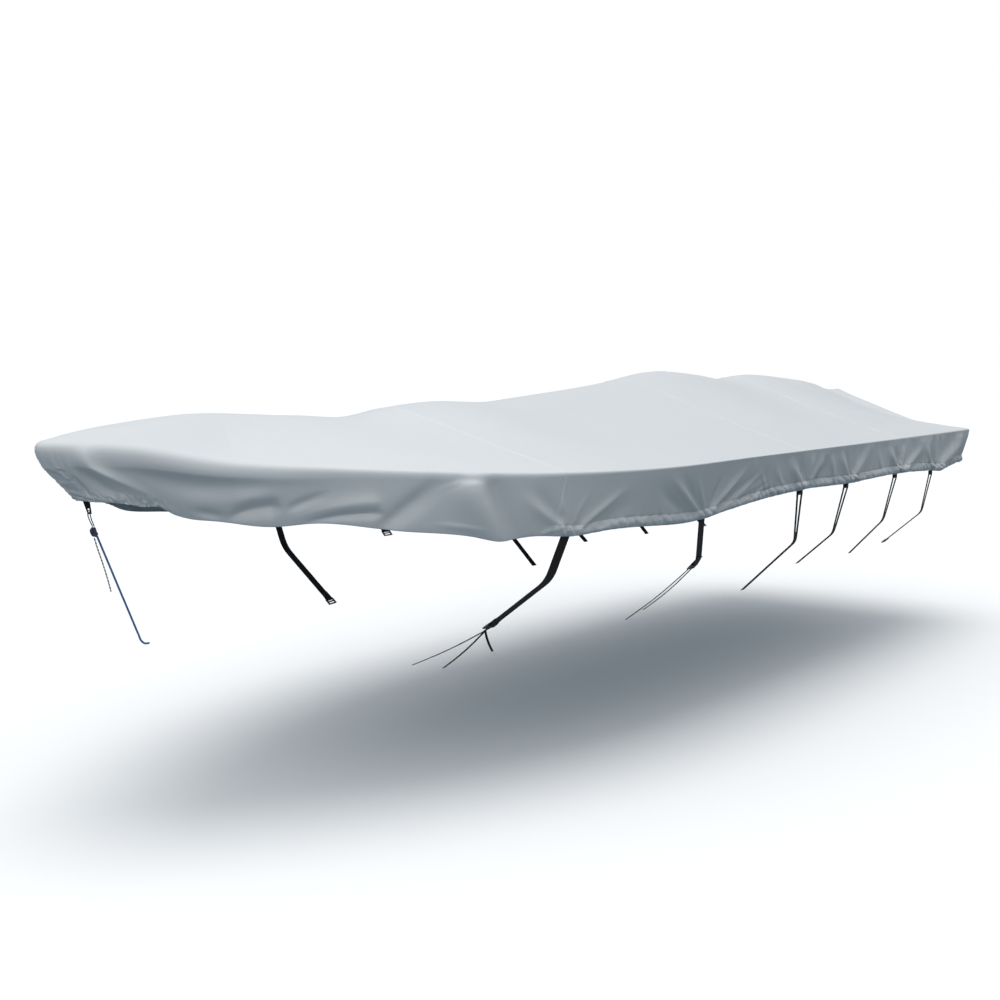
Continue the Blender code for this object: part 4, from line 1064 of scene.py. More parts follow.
def make_plastic_material():
    """Moulded buckle plastic: fine spark-eroded grain, shinier where it rubs."""
    material, tree, shader = new_material("buckle_finish", Roughness=0.42)
    where = place_of(tree)
    grain = node(tree, "ShaderNodeTexNoise", Vector=where, Scale=1900.0, Detail=1.0)
    mottle = pattern(tree, MOTTLE, Place=where, Patch=0.02)
    add_colour(tree, shader, PLASTIC_COLOURS, blend(tree, 0.5, (mottle, 0.4)))
    tree.links.new(blend(tree, 0.42, (mottle, 0.12)), shader.inputs["Roughness"])
    add_relief(tree, shader, 0.2, 0.0002, grain.outputs["Fac"])
    return material


def make_thread_material():
    """Pale polyester thread with the twist of its two plies."""
    material, tree, shader = new_material("thread_finish", Roughness=0.55)
    where = place_of(tree)
    mottle = pattern(tree, MOTTLE, Place=where, Patch=0.1)
    add_colour(tree, shader, THREAD_COLOURS, blend(tree, 0.5, (mottle, 0.3)))
    twist = node(tree, "ShaderNodeTexWave", Vector=where, Scale=900.0)
    add_relief(tree, shader, 0.3, 0.0002, twist.outputs["Fac"])
    return material


plastic_finish = make_plastic_material()
thread_finish = make_thread_material()
print("finishes:", plastic_finish.name, "and", thread_finish.name)

# %% Cord
DARK_CORD_COLOURS = ((0.004, 0.006, 0.016), (0.030, 0.048, 0.115))
BLUE_ROPE_COLOURS = ((0.018, 0.065, 0.210), (0.120, 0.270, 0.520))
TWISTED_COLOURS = ((0.006, 0.006, 0.010), (0.780, 0.790, 0.800))
STRAND_CONTRAST = 2.2


def make_cord_material(name, colours, pitch, braided=True):
    """Cord of coloured yarns that wind round it, by turns around and metres along."""
    material, tree, shader = new_material(name, Roughness=0.68, Sheen_Weight=0.2)
    around, metres = node(tree, "ShaderNodeSeparateXYZ", i0=metres_of(tree)).outputs[:2]
    length = maths(tree, "DIVIDE", metres, pitch)
    left = ripples(tree, maths(tree, "ADD", length, around), 1)
    right = ripples(tree, maths(tree, "SUBTRACT", length, around), 1)
    yarns = maths(tree, "MULTIPLY", left, right if braided else STRAND_CONTRAST)
    fuzz = node(tree, "ShaderNodeTexNoise", Scale=900.0, Detail=2.0, Vector=place_of(tree))
    add_colour(tree, shader, colours, blend(tree, 0.35, (yarns, 0.5), (fuzz.outputs["Fac"], 0.25)))
    add_relief(tree, shader, 0.6, 0.0006, yarns)
    return material


dark_cord_finish = make_cord_material("dark_cord_finish", DARK_CORD_COLOURS, 0.006)
rope_finish = make_cord_material("blue_rope_finish", BLUE_ROPE_COLOURS, 0.011)
tail_finish = make_cord_material("twisted_cord_finish", TWISTED_COLOURS, 0.0105, braided=False)
print("finishes:", ", ".join(m.name for m in bpy.data.materials if m.name.endswith("_finish")))

# %% [markdown]
# ## The four panels
#
# Each panel is one grid from the port hem, over the ridge, to the starboard hem. A panel
# laps 8 mm forward over the one before it and stands up over it by the cloth's own
# thickness, which is what makes a felled seam show. The grid gets its thickness from a
# modifier, and its texture lengths in metres, so the weave is the same size all over.
# Sculpting would give softer folds, but their sizes could not be read off and set again.

# %% Making a piece
def paint_metres(mesh, across, along):
    """Texture lengths at each corner, in metres."""
    layer = mesh.uv_layers.new(name="metres")
    layer.data.foreach_set("uv", np.stack([across, along], 1).ravel().astype(np.float32))


def make_piece(name, points, faces, finish, across, along):
    """A smooth mesh with its texture lengths and its finish, as an object in the scene."""
    mesh = bpy.data.meshes.new(name)
    mesh.from_pydata(points, [], faces)
    paint_metres(mesh, across, along)
    mesh.shade_smooth()
    mesh.materials.append(finish)
    return add_object(name, mesh)


def thicken(thing, thickness, offset):
    """Give a sheet its thickness: offset -1 is inwards, 0 is to both sides."""
    shell = thing.modifiers.new("thickness", "SOLIDIFY")
    shell.thickness = thickness
    shell.offset = offset


def stand_for(thing, slot_name, *node_names):
    """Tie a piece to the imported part: it rides on the root in place of these nodes."""
    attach(thing, "root")
    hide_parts(*node_names)


print("helpers:", make_piece.__name__, thicken.__name__, stand_for.__name__)

# %% Columns of a panel
COLUMN_STEP = 0.005
STEM_STEP = 0.003             # closer together round the stem, where the cloth is crumpled
STEM_FINE = 0.36
TRANSOM_STEP = 0.0075
PAST_CORNER = 0.08            # the wider step starts this far past the quarter
SEAM_COLUMNS = (-LAP, -0.0066, -0.0053, -0.004, 0.0, 0.0052, 0.0065, 0.0078, 0.0092, 0.0130)
# The cloth's tone follows the relief as painted shade in troughs and painted light on ridges.
FOLD_SHADE_RELIEF = 0.012          # relief that turns the cloth's tone all the way
PANEL_NAMES = ("bow", "mid", "aft", "stern")
PANEL_ENDS = [0.0] + ARC_SEAMS + [ARC_END]


def columns_between(first, last, step, more=0):
    """Evenly spaced columns, about a step apart."""
    return np.linspace(first, last, int((last - first) / step) + more)


def panel_columns(panel):
    """Lengths along the edge of a panel's columns, closer together over its seam."""
    first, last = PANEL_ENDS[panel], PANEL_ENDS[panel + 1]
    if panel == 0:
        stem = columns_between(first, STEM_FINE, STEM_STEP)
        return np.concatenate([stem, columns_between(STEM_FINE, last, COLUMN_STEP)[1:]])
    seam = [first + place for place in SEAM_COLUMNS]
    turn = last if panel < 3 else ARC_CORNER + PAST_CORNER
    rest = columns_between(seam[-1], turn, COLUMN_STEP)[1:]
    across = columns_between(turn, last, TRANSOM_STEP, more=2)[1:] if panel == 3 else []
    return np.concatenate([seam, rest, across])


print("columns of the panels:", [len(panel_columns(panel)) for panel in range(4)])


# %% Making the panels
def grid_faces(index, turned):
    """Quads over a grid of point numbers, outward side up."""
    a, b = index[:-1, :-1].ravel(), index[1:, :-1].ravel()
    c, d = index[1:, 1:].ravel(), index[:-1, 1:].ravel()
    return np.stack([a, d, c, b] if turned else [a, b, c, d], 1)


def paint_points(mesh, **values):
    """Store a number at each point, for the materials to read."""
    for name, numbers in values.items():
        layer = mesh.attributes.new(name, "FLOAT", "POINT")
        layer.data.foreach_set("value", np.asarray(numbers, np.float32))


def make_panel(panel):
    """Both sides of a panel as one sheet: they share the ridge, and the stem or transom."""
    arcs = panel_columns(panel)
    port, stbd = make_patch(arcs, -1, panel), make_patch(arcs, 1, panel)
    rows, columns = port.points.shape[:2]
    count = rows * columns
    port_index = np.arange(count).reshape(rows, columns)
    stbd_index = port_index + count
    shown = np.concatenate([grid_faces(port_index, False), grid_faces(stbd_index, True)])
    stbd_index[0] = port_index[0]
    if panel == 0:
        stbd_index[:, 0] = port_index[:, 0]
    if panel == 3:
        stbd_index[:, -1] = port_index[:, -1]
    quads = np.concatenate([grid_faces(port_index, False), grid_faces(stbd_index, True)])
    used, compact = np.unique(quads, return_inverse=True)

    def kept(port_values, stbd_values):
        return np.concatenate([port_values, stbd_values]).reshape(2 * count, -1)[used]

    name = PANEL_NAMES[panel]
    corner = shown.ravel()
    girth = np.concatenate([port.girth.ravel(), -stbd.girth.ravel()])
    thing = make_piece("cover_" + name, kept(port.points, stbd.points).tolist(),
                       compact.reshape(-1, 4).tolist(), cloth_finish,
                       np.tile(arcs, 2 * rows)[corner], girth[corner])
    # Relief heights are stored for the painted shade in fold troughs and the painted light on
    # ridges.
    depths = kept(port.relief, stbd.relief)[:, 0]
    paint_points(thing.data, layers=kept(port.layers, stbd.layers)[:, 0],
                 relief=np.clip(depths / FOLD_SHADE_RELIEF, -1, 1))
    thicken(thing, CLOTH, -1)
    stand_for(thing, "cover_cloth", "panel_" + name)
    one_side = sum(face.area for face in thing.data.polygons)
    print(thing.name, len(thing.data.polygons), "faces,", round(one_side, 3), "square metres")


for panel in range(len(PANEL_NAMES)):
    make_panel(panel)

# %% [markdown]
# ## Stitching
#
# Two rows of lockstitch hold each felled seam, and one row closes the hem's channel. We
# draw each row as a chain of edges that carries the cloth's outward direction, and a
# geometry node tree walks along it and lays down one small bent stitch after another. The
# result is kept as plain mesh.

# %% A tree that lays stitches along lines
STITCH_PITCH = 0.0045
STITCH_LENGTH = 0.0034
STITCH_RADIUS = 0.00045
STITCH_SEED = 5
STITCH_SINK = -1.4            # how far a stitch's ends dip, in radii
STITCH_WANDER = (0.03, 0.03, 0.07)


def stitch_tree(material):
    """Resample each line, turn a bent rod to the cloth at each point, and keep the mesh."""
    tree = bpy.data.node_groups.new("lay_stitches", "GeometryNodeTree")
    tree.interface.new_socket("Geometry", in_out="INPUT", socket_type="NodeSocketGeometry")
    for label, kind, value in (("Pitch", "Float", STITCH_PITCH), ("Length", "Float", STITCH_LENGTH),
                               ("Radius", "Float", STITCH_RADIUS), ("Seed", "Int", STITCH_SEED)):
        tree.interface.new_socket(label, in_out="INPUT",
                                  socket_type="NodeSocket" + kind).default_value = value
    tree.interface.new_socket("Geometry", in_out="OUTPUT", socket_type="NodeSocketGeometry")
    get = tree.nodes.new("NodeGroupInput").outputs
    line = node(tree, "GeometryNodeMeshToCurve", i0=get["Geometry"])
    spaced = node(tree, "GeometryNodeResampleCurve", {"mode": "LENGTH"}, i0=line.outputs[0])
    tree.links.new(get["Pitch"], spaced.inputs["Length"])
    rod = node(tree, "GeometryNodeMeshCylinder", Vertices=6, Side_Segments=2,
               Radius=get["Radius"], Depth=get["Length"])
    laid = node(tree, "GeometryNodeTransform", i0=rod.outputs[0],
                Rotation=(0, math.pi / 2, 0))
    place = node(tree, "GeometryNodeInputPosition")
    along = node(tree, "ShaderNodeSeparateXYZ", i0=place.outputs[0]).outputs[0]
    half = maths(tree, "MULTIPLY", get["Length"], 0.5)
    bend = maths(tree, "DIVIDE", maths(tree, "MULTIPLY", along, along),
                 maths(tree, "MULTIPLY", half, half))
    sink = maths(tree, "MULTIPLY", bend, maths(tree, "MULTIPLY", get["Radius"], STITCH_SINK))
    drop = node(tree, "ShaderNodeCombineXYZ", i2=sink)
    bent = node(tree, "GeometryNodeSetPosition", i0=laid.outputs[0], Offset=drop.outputs[0])
    tangent = node(tree, "GeometryNodeInputTangent")
    outward = node(tree, "GeometryNodeInputNamedAttribute", {"data_type": "FLOAT_VECTOR"},
                   Name="outward")
    first = node(tree, "FunctionNodeAlignRotationToVector", {"axis": "X"},
                 Vector=tangent.outputs[0])
    second = node(tree, "FunctionNodeAlignRotationToVector", {"axis": "Z", "pivot_axis": "X"},
                  Rotation=first.outputs[0], Vector=outward.outputs[0])
    wander = node(tree, "FunctionNodeRandomValue", {"data_type": "FLOAT_VECTOR"},
                  i0=tuple(-turn for turn in STITCH_WANDER), i1=STITCH_WANDER, Seed=get["Seed"])
    turned = node(tree, "FunctionNodeEulerToRotation", i0=wander.outputs[0])
    loose = node(tree, "FunctionNodeRotateRotation", {"rotation_space": "LOCAL"},
                 i0=second.outputs[0], i1=turned.outputs[0])
    placed = node(tree, "GeometryNodeInstanceOnPoints", i0=spaced.outputs[0],
                  Instance=bent.outputs[0], Rotation=loose.outputs[0])
    real = node(tree, "GeometryNodeRealizeInstances", i0=placed.outputs[0])
    done = node(tree, "GeometryNodeSetMaterial", i0=real.outputs[0], Material=material)
    node(tree, "NodeGroupOutput", i0=done.outputs[0])
    return tree


def through_tree(thing, tree):
    """Run an object through a geometry tree and keep the result as its plain mesh."""
    step = thing.modifiers.new(tree.name, "NODES")
    step.node_group = tree
    depsgraph = bpy.context.evaluated_depsgraph_get()
    made = bpy.data.meshes.new_from_object(thing.evaluated_get(depsgraph))
    thing.modifiers.remove(step)
    chain, thing.data = thing.data, made
    made.name = thing.name
    bpy.data.meshes.remove(chain)


LAY_STITCHES = stitch_tree(thread_finish)
print("one stitch every", STITCH_PITCH * 1000, "mm")

# %% [markdown]
# The lines themselves come from the same surface as the panels. A seam's row runs from the
# port hem up over the ridge and down to the starboard hem. The hem's rows run along both
# sides from the first seam aft, and round the corners to the middle of the transom.

# %% Stitch rows
SEAM_ROWS = (-0.0048, 0.0056)         # from the seam's middle
HEM_ROW = 0.0355                      # above the hem
HEM_ROW_STEP = 0.004
SEAM_ROW_END = 0.003                  # above the hem
NEAR = 0.002
SUNK = 0.0001                         # stitches sit this far into the cloth


def on_along(line):
    """Each point's neighbour further on along a line."""
    return np.vstack([line[1:], 2 * line[-1:] - line[-2:-1]])


def outward_of(centre, ahead, below, side):
    """Unit normals from a line's neighbours ahead of it and below it."""
    normal = np.cross(below - centre, ahead - centre)
    return normal / np.linalg.norm(normal, axis=1)[:, None] * -side


def seam_line(seam, offset, side):
    """Points and outward directions of a stitch row down one side of the boat."""
    arc = ARC_SEAMS[seam] + offset
    patch = make_patch([arc, arc + NEAR], side, seam + 1)
    centre, ahead = patch.points[:, 0], patch.points[:, 1]
    normal = outward_of(centre, ahead, on_along(centre), side)
    keep = patch.girth[:, 0] < patch.girth[-1, 0] - SEAM_ROW_END
    return centre[keep], normal[keep]


def hem_line(panel, side):
    """Points and outward directions of the row above a panel's hem."""
    arcs = np.arange(PANEL_ENDS[panel] + 0.010, PANEL_ENDS[panel + 1] - 0.004, HEM_ROW_STEP)
    ribs = Ribs(arcs, side)
    lines = []
    for above in (HEM_ROW, HEM_ROW - NEAR):
        drop = ribs.drop - above
        out_by = skirt_relief(ribs, drop) + seam_rise(arcs, panel)
        lines.append(ribs.skirt(drop) + ribs.normal * out_by[:, None])
    centre, below = lines
    return centre, outward_of(centre, on_along(centre), below, side)


print("points of the first hem row:", len(hem_line(1, -1)[0]))


# %% Sewing
def make_stitching(name, chains, panel):
    """Chains of points with outward directions, sewn over with stitches."""
    points, outward, edges = [], [], []
    for centre, normal in chains:
        start = len(points)
        points += (centre - normal * SUNK).tolist()
        outward += normal.tolist()
        edges += [(start + n, start + n + 1) for n in range(len(centre) - 1)]
    mesh = bpy.data.meshes.new(name)
    mesh.from_pydata(points, edges, [])
    layer = mesh.attributes.new("outward", "FLOAT_VECTOR", "POINT")
    layer.data.foreach_set("vector", np.array(outward, np.float32).ravel())
    thing = add_object(name, mesh)
    through_tree(thing, LAY_STITCHES)
    stand_for(thing, "cover_cloth", "panel_" + PANEL_NAMES[panel])
    print(name, len(thing.data.polygons), "faces")


for seam in range(len(ARC_SEAMS)):
    rows = []
    for offset in SEAM_ROWS:
        port, stbd = seam_line(seam, offset, -1), seam_line(seam, offset, 1)
        rows.append([np.concatenate([a[:0:-1], b]) for a, b in zip(port, stbd)])
    make_stitching("seam_stitching_%d" % (seam + 1), rows, seam + 1)
for panel in (1, 2, 3):
    make_stitching("hem_stitching_" + PANEL_NAMES[panel],
                   [hem_line(panel, -1), hem_line(panel, 1)], panel)

# %% [markdown]
# ## Straps
#
# Six straps hang on each side. The first two are wide webbing sewn behind the hem. The
# other four are narrow webbing that passes through a small loop under the hem and comes
# back on itself, so that two legs show, drawing together as they reach the hull's turn.
# They run taut, and bend only where the hull's chine was. A ribbon of quads, with its
# thickness and worn edges from modifiers, is the plainest way to make webbing.

# %% Strap sizes and tables
STRAP_THICKNESS = 0.002
WORN, LOOSE_WORN = 0.9, 0.8   # webbing under a pull is thinner than its nominal thickness
WIDE_STRAP = 0.038
LEG_WIDTH = 0.015
LEG_SPREAD = 0.040
JOINED_WIDTH = 0.030
THIN_LEG = 0.009
TUCKED_BEHIND_HEM = 0.030
HEM_LOOP_WIDTH = 0.019
HEM_LOOP_THICKNESS = 0.0015
HEM_LOOP_DEPTH = 0.019
HEM_LOOP_GAP = 0.0056
CLEARANCE = 0.0024
LOOP_PLAY = 0.0025
LOOP_TAIL = 0.006
LEG_SHARES = (0.08, 0.30, 0.55, 0.80)
LEG_CURVE = 0.3               # how much of the legs' drawing together is curved
LEG_DROOP = 0.006
JOINED_SLOT = 0.002
CHINE_RADIUS = 0.035
BUCKLE = {"width": 0.048, "length": 0.026, "thickness": 0.005, "bar": 0.006, "wear": 0.0012}
SIDE_BAR, MIDDLE_BAR = 0.8, 0.35      # shares of a buckle's bar
BUCKLED_STRAPS = (1, 2, 6)
BUCKLE_GAP = 0.0005
LEG_GAP = 0.0003
WRAP_GAP, TAIL_GAP = 0.0003, 0.0006
WRAP_LIFT = (0.7, 0.75)       # off the strap's line before and after the bar, in turns' rises
WRAP_BACK = (0.004, 0.006, 0.034)     # and back from the strap's end; the last is the tail's
NARROWING = 0.016             # where the strap starts to fold, back from its end
RIBBON_STEP, LOOP_STEP = 0.010, 0.005
EDGE_WEAR = 0.0003

Strap = namedtuple("Strap", "station chine_y chine_z end_y end_z doubled")
STRAPS = (
    Strap(1.434, -0.611, -0.348, -0.382, -0.518, False),
    Strap(2.126, -0.757, -0.350, -0.742, -0.366, False),
    Strap(2.880, -0.755, -0.368, -0.526, -0.585, True),
    Strap(3.323, -0.711, -0.383, -0.549, -0.526, True),
    Strap(3.861, -0.704, -0.379, -0.546, -0.544, True),
    Strap(4.355, -0.687, -0.389, -0.520, -0.533, True),
)
# Loose legs under the first two buckles, port side.
Leg = namedtuple("Leg", "strap letter across end_x end_y end_z")
LEGS = (
    Leg(1, "a", -0.014, -0.010, -0.399, -0.604),
    Leg(1, "b", 0.000, -0.020, -0.182, -0.692),
    Leg(1, "c", 0.014, -0.012, -0.022, -0.708),
    Leg(2, "a", -0.012, -0.030, -0.482, -0.591),
    Leg(2, "b", 0.012, 0.012, -0.516, -0.560),
)
print("straps a side:", len(STRAPS))


# %% Ribbons
def vector(values):
    return np.array(values, float)


def unit(direction):
    return direction / np.linalg.norm(direction)


def lengths_along(points):
    """Length from the first point to each point."""
    steps = np.linalg.norm(np.diff(points, axis=0), axis=1)
    return np.concatenate([[0], np.cumsum(steps)])


def rounded_route(points, radius, steps=7):
    """The same route with its inner corners rounded."""
    route = [points[0]]
    for before, corner, after in zip(points, points[1:], points[2:]):
        back, on = before - corner, after - corner
        reach = min(radius, np.linalg.norm(back) / 2, np.linalg.norm(on) / 2)
        start, end = corner + unit(back) * reach, corner + unit(on) * reach
        for step in range(steps + 1):
            t = step / steps
            route.append(start * (1 - t) ** 2 + corner * (2 * t * (1 - t)) + end * t * t)
    return route + [points[-1]]


def widened(route, across, widths, columns):
    """Rows of points over a route: one width for all of it, or one for each place."""
    shares = np.linspace(-0.5, 0.5, columns)[:, None]
    return [point + across * width * shares
            for point, width in zip(route, np.broadcast_to(widths, len(route)))]


def finer(rows, step=RIBBON_STEP):
    """More rows between the given ones, and where each given row ended up."""
    made, places = [rows[0]], [0]
    for upper, lower in zip(rows, rows[1:]):
        length = np.linalg.norm(lower.mean(axis=0) - upper.mean(axis=0))
        count = max(int(round(length / step)), 1)
        made += [upper + (lower - upper) * n / count for n in range(1, count + 1)]
        places.append(len(made) - 1)
    return made, places


def make_ribbon(name, node_name, rows, thickness, finish=webbing_finish, slot_name="webbing",
                open_faces=(), wear=EDGE_WEAR, wear_segments=2):
    """A flat strip from rows of points; open_faces are (row, column) pairs left out."""
    rows = np.array(rows)
    count, columns = rows.shape[:2]
    faces = [(r * columns + c, r * columns + c + 1, (r + 1) * columns + c + 1,
              (r + 1) * columns + c)
             for r in range(count - 1) for c in range(columns - 1) if (r, c) not in open_faces]
    used, compact = np.unique(faces, return_inverse=True)
    along = np.repeat(lengths_along(rows.mean(axis=1)), columns)
    across = np.linalg.norm(rows - rows[:, :1], axis=2).ravel()
    corners = np.ravel(faces)
    thing = make_piece(name, rows.reshape(-1, 3)[used].tolist(), compact.reshape(-1, 4).tolist(),
                       finish, across[corners], along[corners])
    thicken(thing, thickness, 0)
    edge = thing.modifiers.new("worn_edges", "BEVEL")
    edge.width = wear
    edge.segments = wear_segments
    edge.limit_method = "ANGLE"
    edge.harden_normals = True
    stand_for(thing, slot_name, node_name)


print("ribbon rows every", RIBBON_STEP * 1000, "mm")

# %% Where the straps run
SIDE_NAMES = {-1: "port", 1: "stbd"}


def which(side, number, letter=""):
    """The end of a piece's name, such as port_1a."""
    return "%s_%d%s" % (SIDE_NAMES[side], number, letter)


def mirrored(point, side):
    """A port-side point, or the same point on the starboard side."""
    return vector((point[0], point[1] * -side, point[2]))


def strap_across(strap, side):
    """Direction of a strap's width: along the hull's side in plan."""
    normal = Ribs([arc_at(strap.station)], side).normal[0]
    across = vector((normal[1], -normal[0], 0))
    return across if across[0] > 0 else -across


def strap_places(strap, side, depth):
    """Points behind the hem and above it, a depth inside the skirt's inner face."""
    ribs = Ribs([arc_at(strap.station)], side)
    across = strap_across(strap, side)
    x = strap.station - BOAT_LENGTH / 2
    places = []
    for drop in (ribs.drop, ribs.drop - TUCKED_BEHIND_HEM):
        point = ribs.skirt(drop)[0] - ribs.normal[0] * (CLOTH + CLEARANCE + depth)
        places.append(point + across * ((x - point[0]) / across[0]))
    return places


def strap_route(strap, side):
    """Middle line of a strap: its start at the hem, the chine and its end."""
    x = strap.station - BOAT_LENGTH / 2
    if strap.doubled:
        start = strap_places(strap, side, HEM_LOOP_THICKNESS + HEM_LOOP_GAP / 2)[:1]
    else:
        start = strap_places(strap, side, STRAP_THICKNESS / 2)[::-1]
    return (start, mirrored((x, strap.chine_y, strap.chine_z), side),
            mirrored((x, strap.end_y, strap.end_z), side))


print("the first strap leaves the hem at", strap_route(STRAPS[0], -1)[0][1].round(3))

# %% [markdown]
# A wide strap ends in a slide buckle: it runs over the buckle's bar, round it and back
# under itself, a little folded to fit. A doubled strap is one ribbon with a slot down its
# middle, so that its two legs stay parallel and meet at the same place.


# %% Wide and doubled straps
def turn_round_bar(end, along, facing, bar_middle, bar_half):
    """Points that carry a strap's end over a buckle's bar, round it and back."""
    rise = BUCKLE["thickness"] / 2 + STRAP_THICKNESS / 2 + WRAP_GAP
    turn = bar_half + STRAP_THICKNESS / 2 + WRAP_GAP
    points = [end + facing * rise * WRAP_LIFT[0] - along * WRAP_BACK[0]]
    for angle in np.arange(9) * math.pi / 8:
        points.append(bar_middle + facing * rise * math.cos(angle)
                      + along * turn * math.sin(angle))
    points += [end - facing * rise * WRAP_LIFT[1] - along * WRAP_BACK[1],
               end - facing * (STRAP_THICKNESS + TAIL_GAP) - along * WRAP_BACK[2]]
    return points


def buckle_frame(strap, side):
    """Middle, length direction and width direction of a strap's buckle."""
    chine, end = strap_route(strap, side)[1:]
    along = unit(end - chine)
    place = end + along * (BUCKLE["length"] / 2 + BUCKLE_GAP)
    return place, along, strap_across(strap, side)


WIDE_COLUMNS = 5
LEG_COLUMNS = 3
NARROWED = 0.034              # webbing folds a little where it passes a buckle
BAR_TURN = 0.4                # of the buckle's bar, to each side of its middle


def make_wide_strap(number, strap, side):
    """Webbing from behind the hem, round the chine, over its buckle's bar and back."""
    start, chine, end = strap_route(strap, side)
    place, along, across = buckle_frame(strap, side)
    facing = unit(np.cross(along, across))
    facing *= math.copysign(1, facing @ mirrored((0, -1, 0), side))
    bar_half = BUCKLE["bar"] * BAR_TURN
    bar_middle = place - along * (BUCKLE["length"] / 2 - bar_half)
    wrap = turn_round_bar(end, along, facing, bar_middle, bar_half)
    route = rounded_route(start + [chine, end], CHINE_RADIUS)[:-1] + [end - along * NARROWING]
    widths = [WIDE_STRAP] * len(route) + [NARROWED] * len(wrap)
    rows = widened(route + wrap, across, widths, WIDE_COLUMNS)
    end_name = which(side, number)
    make_ribbon("webbing_" + end_name, "strap_" + end_name, finer(rows)[0],
                STRAP_THICKNESS * WORN)


def make_doubled_strap(number, strap, side):
    """Two legs from the loop, which draw together and run on as one with a fine slot."""
    start, chine, end = strap_route(strap, side)
    across = strap_across(strap, side)
    top = start[0]
    foot = top - UP * (HEM_LOOP_DEPTH - LOOP_PLAY)
    legs = [top, foot] + [foot + (chine - foot) * share for share in LEG_SHARES]
    route = legs + rounded_route([legs[-1], chine, end], CHINE_RADIUS)[1:]
    slot_rows = len(legs) - 1
    rows = []
    for index, point in enumerate(route):
        run = max(index - 1, 0) / slot_rows
        share = smooth_step(run) * LEG_CURVE + (1 - LEG_CURVE) * min(run, 1.0)
        inner = (LEG_SPREAD - LEG_WIDTH) / 2 * (1 - share) + JOINED_SLOT / 2 * share
        outer = (LEG_SPREAD + LEG_WIDTH) / 2 * (1 - share) + JOINED_WIDTH / 2 * share
        right = np.linspace(inner, outer, LEG_COLUMNS)
        rows.append(point + across * np.concatenate([-right[::-1], right])[:, None])
    fine, places = finer(rows)
    opened = {(row, LEG_COLUMNS - 1) for row in range(places[1], places[slot_rows])}
    end_name = which(side, number)
    make_ribbon("webbing_" + end_name, "strap_" + end_name, fine, STRAP_THICKNESS * WORN,
                open_faces=opened)


print("a wide strap has", WIDE_COLUMNS, "columns and a leg", LEG_COLUMNS)

# %% [markdown]
# The hem loops and buckles are small, but they show against the sky. A loop is a strip bent
# into a U, and a buckle is a thick strip with two openings, its edges rounded by a bevel.
# The loose ends under the first buckles are short strips that hang almost straight.

# %% Loops, buckles and loose ends
LOOP_COLUMNS = 4
LOOSE_ROWS = 15


def make_hem_loop(number, strap, side):
    """A short webbing loop under the hem, round the strap's turn."""
    outer, top = strap_places(strap, side, HEM_LOOP_THICKNESS / 2)
    width = HEM_LOOP_GAP + HEM_LOOP_THICKNESS
    inward = vector((0, -side, 0))
    low = outer - UP * (HEM_LOOP_DEPTH - width / 2)
    route = [top, outer, low]
    for angle in np.arange(1, 12) * math.pi / 12:
        route.append(low + inward * width / 2 * (1 - math.cos(angle))
                     - UP * width / 2 * math.sin(angle))
    route += [low + inward * width, outer + inward * width,
              top + inward * width - UP * LOOP_TAIL]
    rows = widened(route, strap_across(strap, side), HEM_LOOP_WIDTH, LOOP_COLUMNS)
    end_name = which(side, number)
    make_ribbon("loop_" + end_name, "hem_loop_" + end_name, finer(rows, LOOP_STEP)[0],
                HEM_LOOP_THICKNESS)


def make_buckle(number, strap, side):
    """A slide buckle: a flat frame with a middle bar, its length along the strap."""
    place, along, across = buckle_frame(strap, side)
    half_w, half_l, bar = BUCKLE["width"] / 2, BUCKLE["length"] / 2, BUCKLE["bar"]
    xs = (-half_w, -half_w + bar, 0, half_w - bar, half_w)
    ys = (-half_l, -half_l + bar * SIDE_BAR, -bar * MIDDLE_BAR, bar * MIDDLE_BAR,
          half_l - bar * SIDE_BAR, half_l)
    rows = [[place + along * y + across * x for x in xs] for y in ys]
    opened = {(row, column) for row in (1, 3) for column in (1, 2)}
    name = "buckle_" + which(side, number)
    make_ribbon("slide_" + name, name, rows, BUCKLE["thickness"], plastic_finish,
                "buckle_plastic", opened, BUCKLE["wear"], 3)


def make_loose_leg(leg, side):
    """A loose end that hangs almost straight from the buckle."""
    place, along, across = buckle_frame(STRAPS[leg.strap - 1], side)
    start = place + along * (BUCKLE["length"] / 2 + BUCKLE_GAP) + across * leg.across
    end = mirrored((start[0] + leg.end_x, leg.end_y, leg.end_z), side)
    heading = unit(end - start)
    first = start + heading * (LEG_GAP + BUCKLE["thickness"]
                               * np.linalg.norm(np.cross(heading, along)))
    droop = unit(UP - heading * heading[2]) * -LEG_DROOP
    route = [first + (end - first) * t + droop * math.sin(math.pi * t)
             for t in np.linspace(0, 1, LOOSE_ROWS)]
    end_name = which(side, leg.strap, leg.letter)
    make_ribbon("webbing_" + end_name, "strap_" + end_name,
                widened(route, across, THIN_LEG, LEG_COLUMNS), STRAP_THICKNESS * LOOSE_WORN)


for side in SIDE_NAMES:
    for number, strap in enumerate(STRAPS, start=1):
        if strap.doubled:
            make_doubled_strap(number, strap, side)
            make_hem_loop(number, strap, side)
        else:
            make_wide_strap(number, strap, side)
        if number in BUCKLED_STRAPS:
            make_buckle(number, strap, side)
for leg in LEGS:
    make_loose_leg(leg, -1)
ribbons = [thing for thing in bpy.data.objects if thing.name.startswith(("webbing", "loop"))]
print("webbing pieces:", len(ribbons))

# %% [markdown]
# ## The bow tie
#
# A webbing loop is sewn under the stem. A thin dark cord goes through it and down to a
# knot, and from the knot hang a blue rope and a short end of twisted cord. Both hang taut,
# as they do when the other end is made fast. Each is a ring of points carried along a
# smooth route, with strands raised on it where they show.

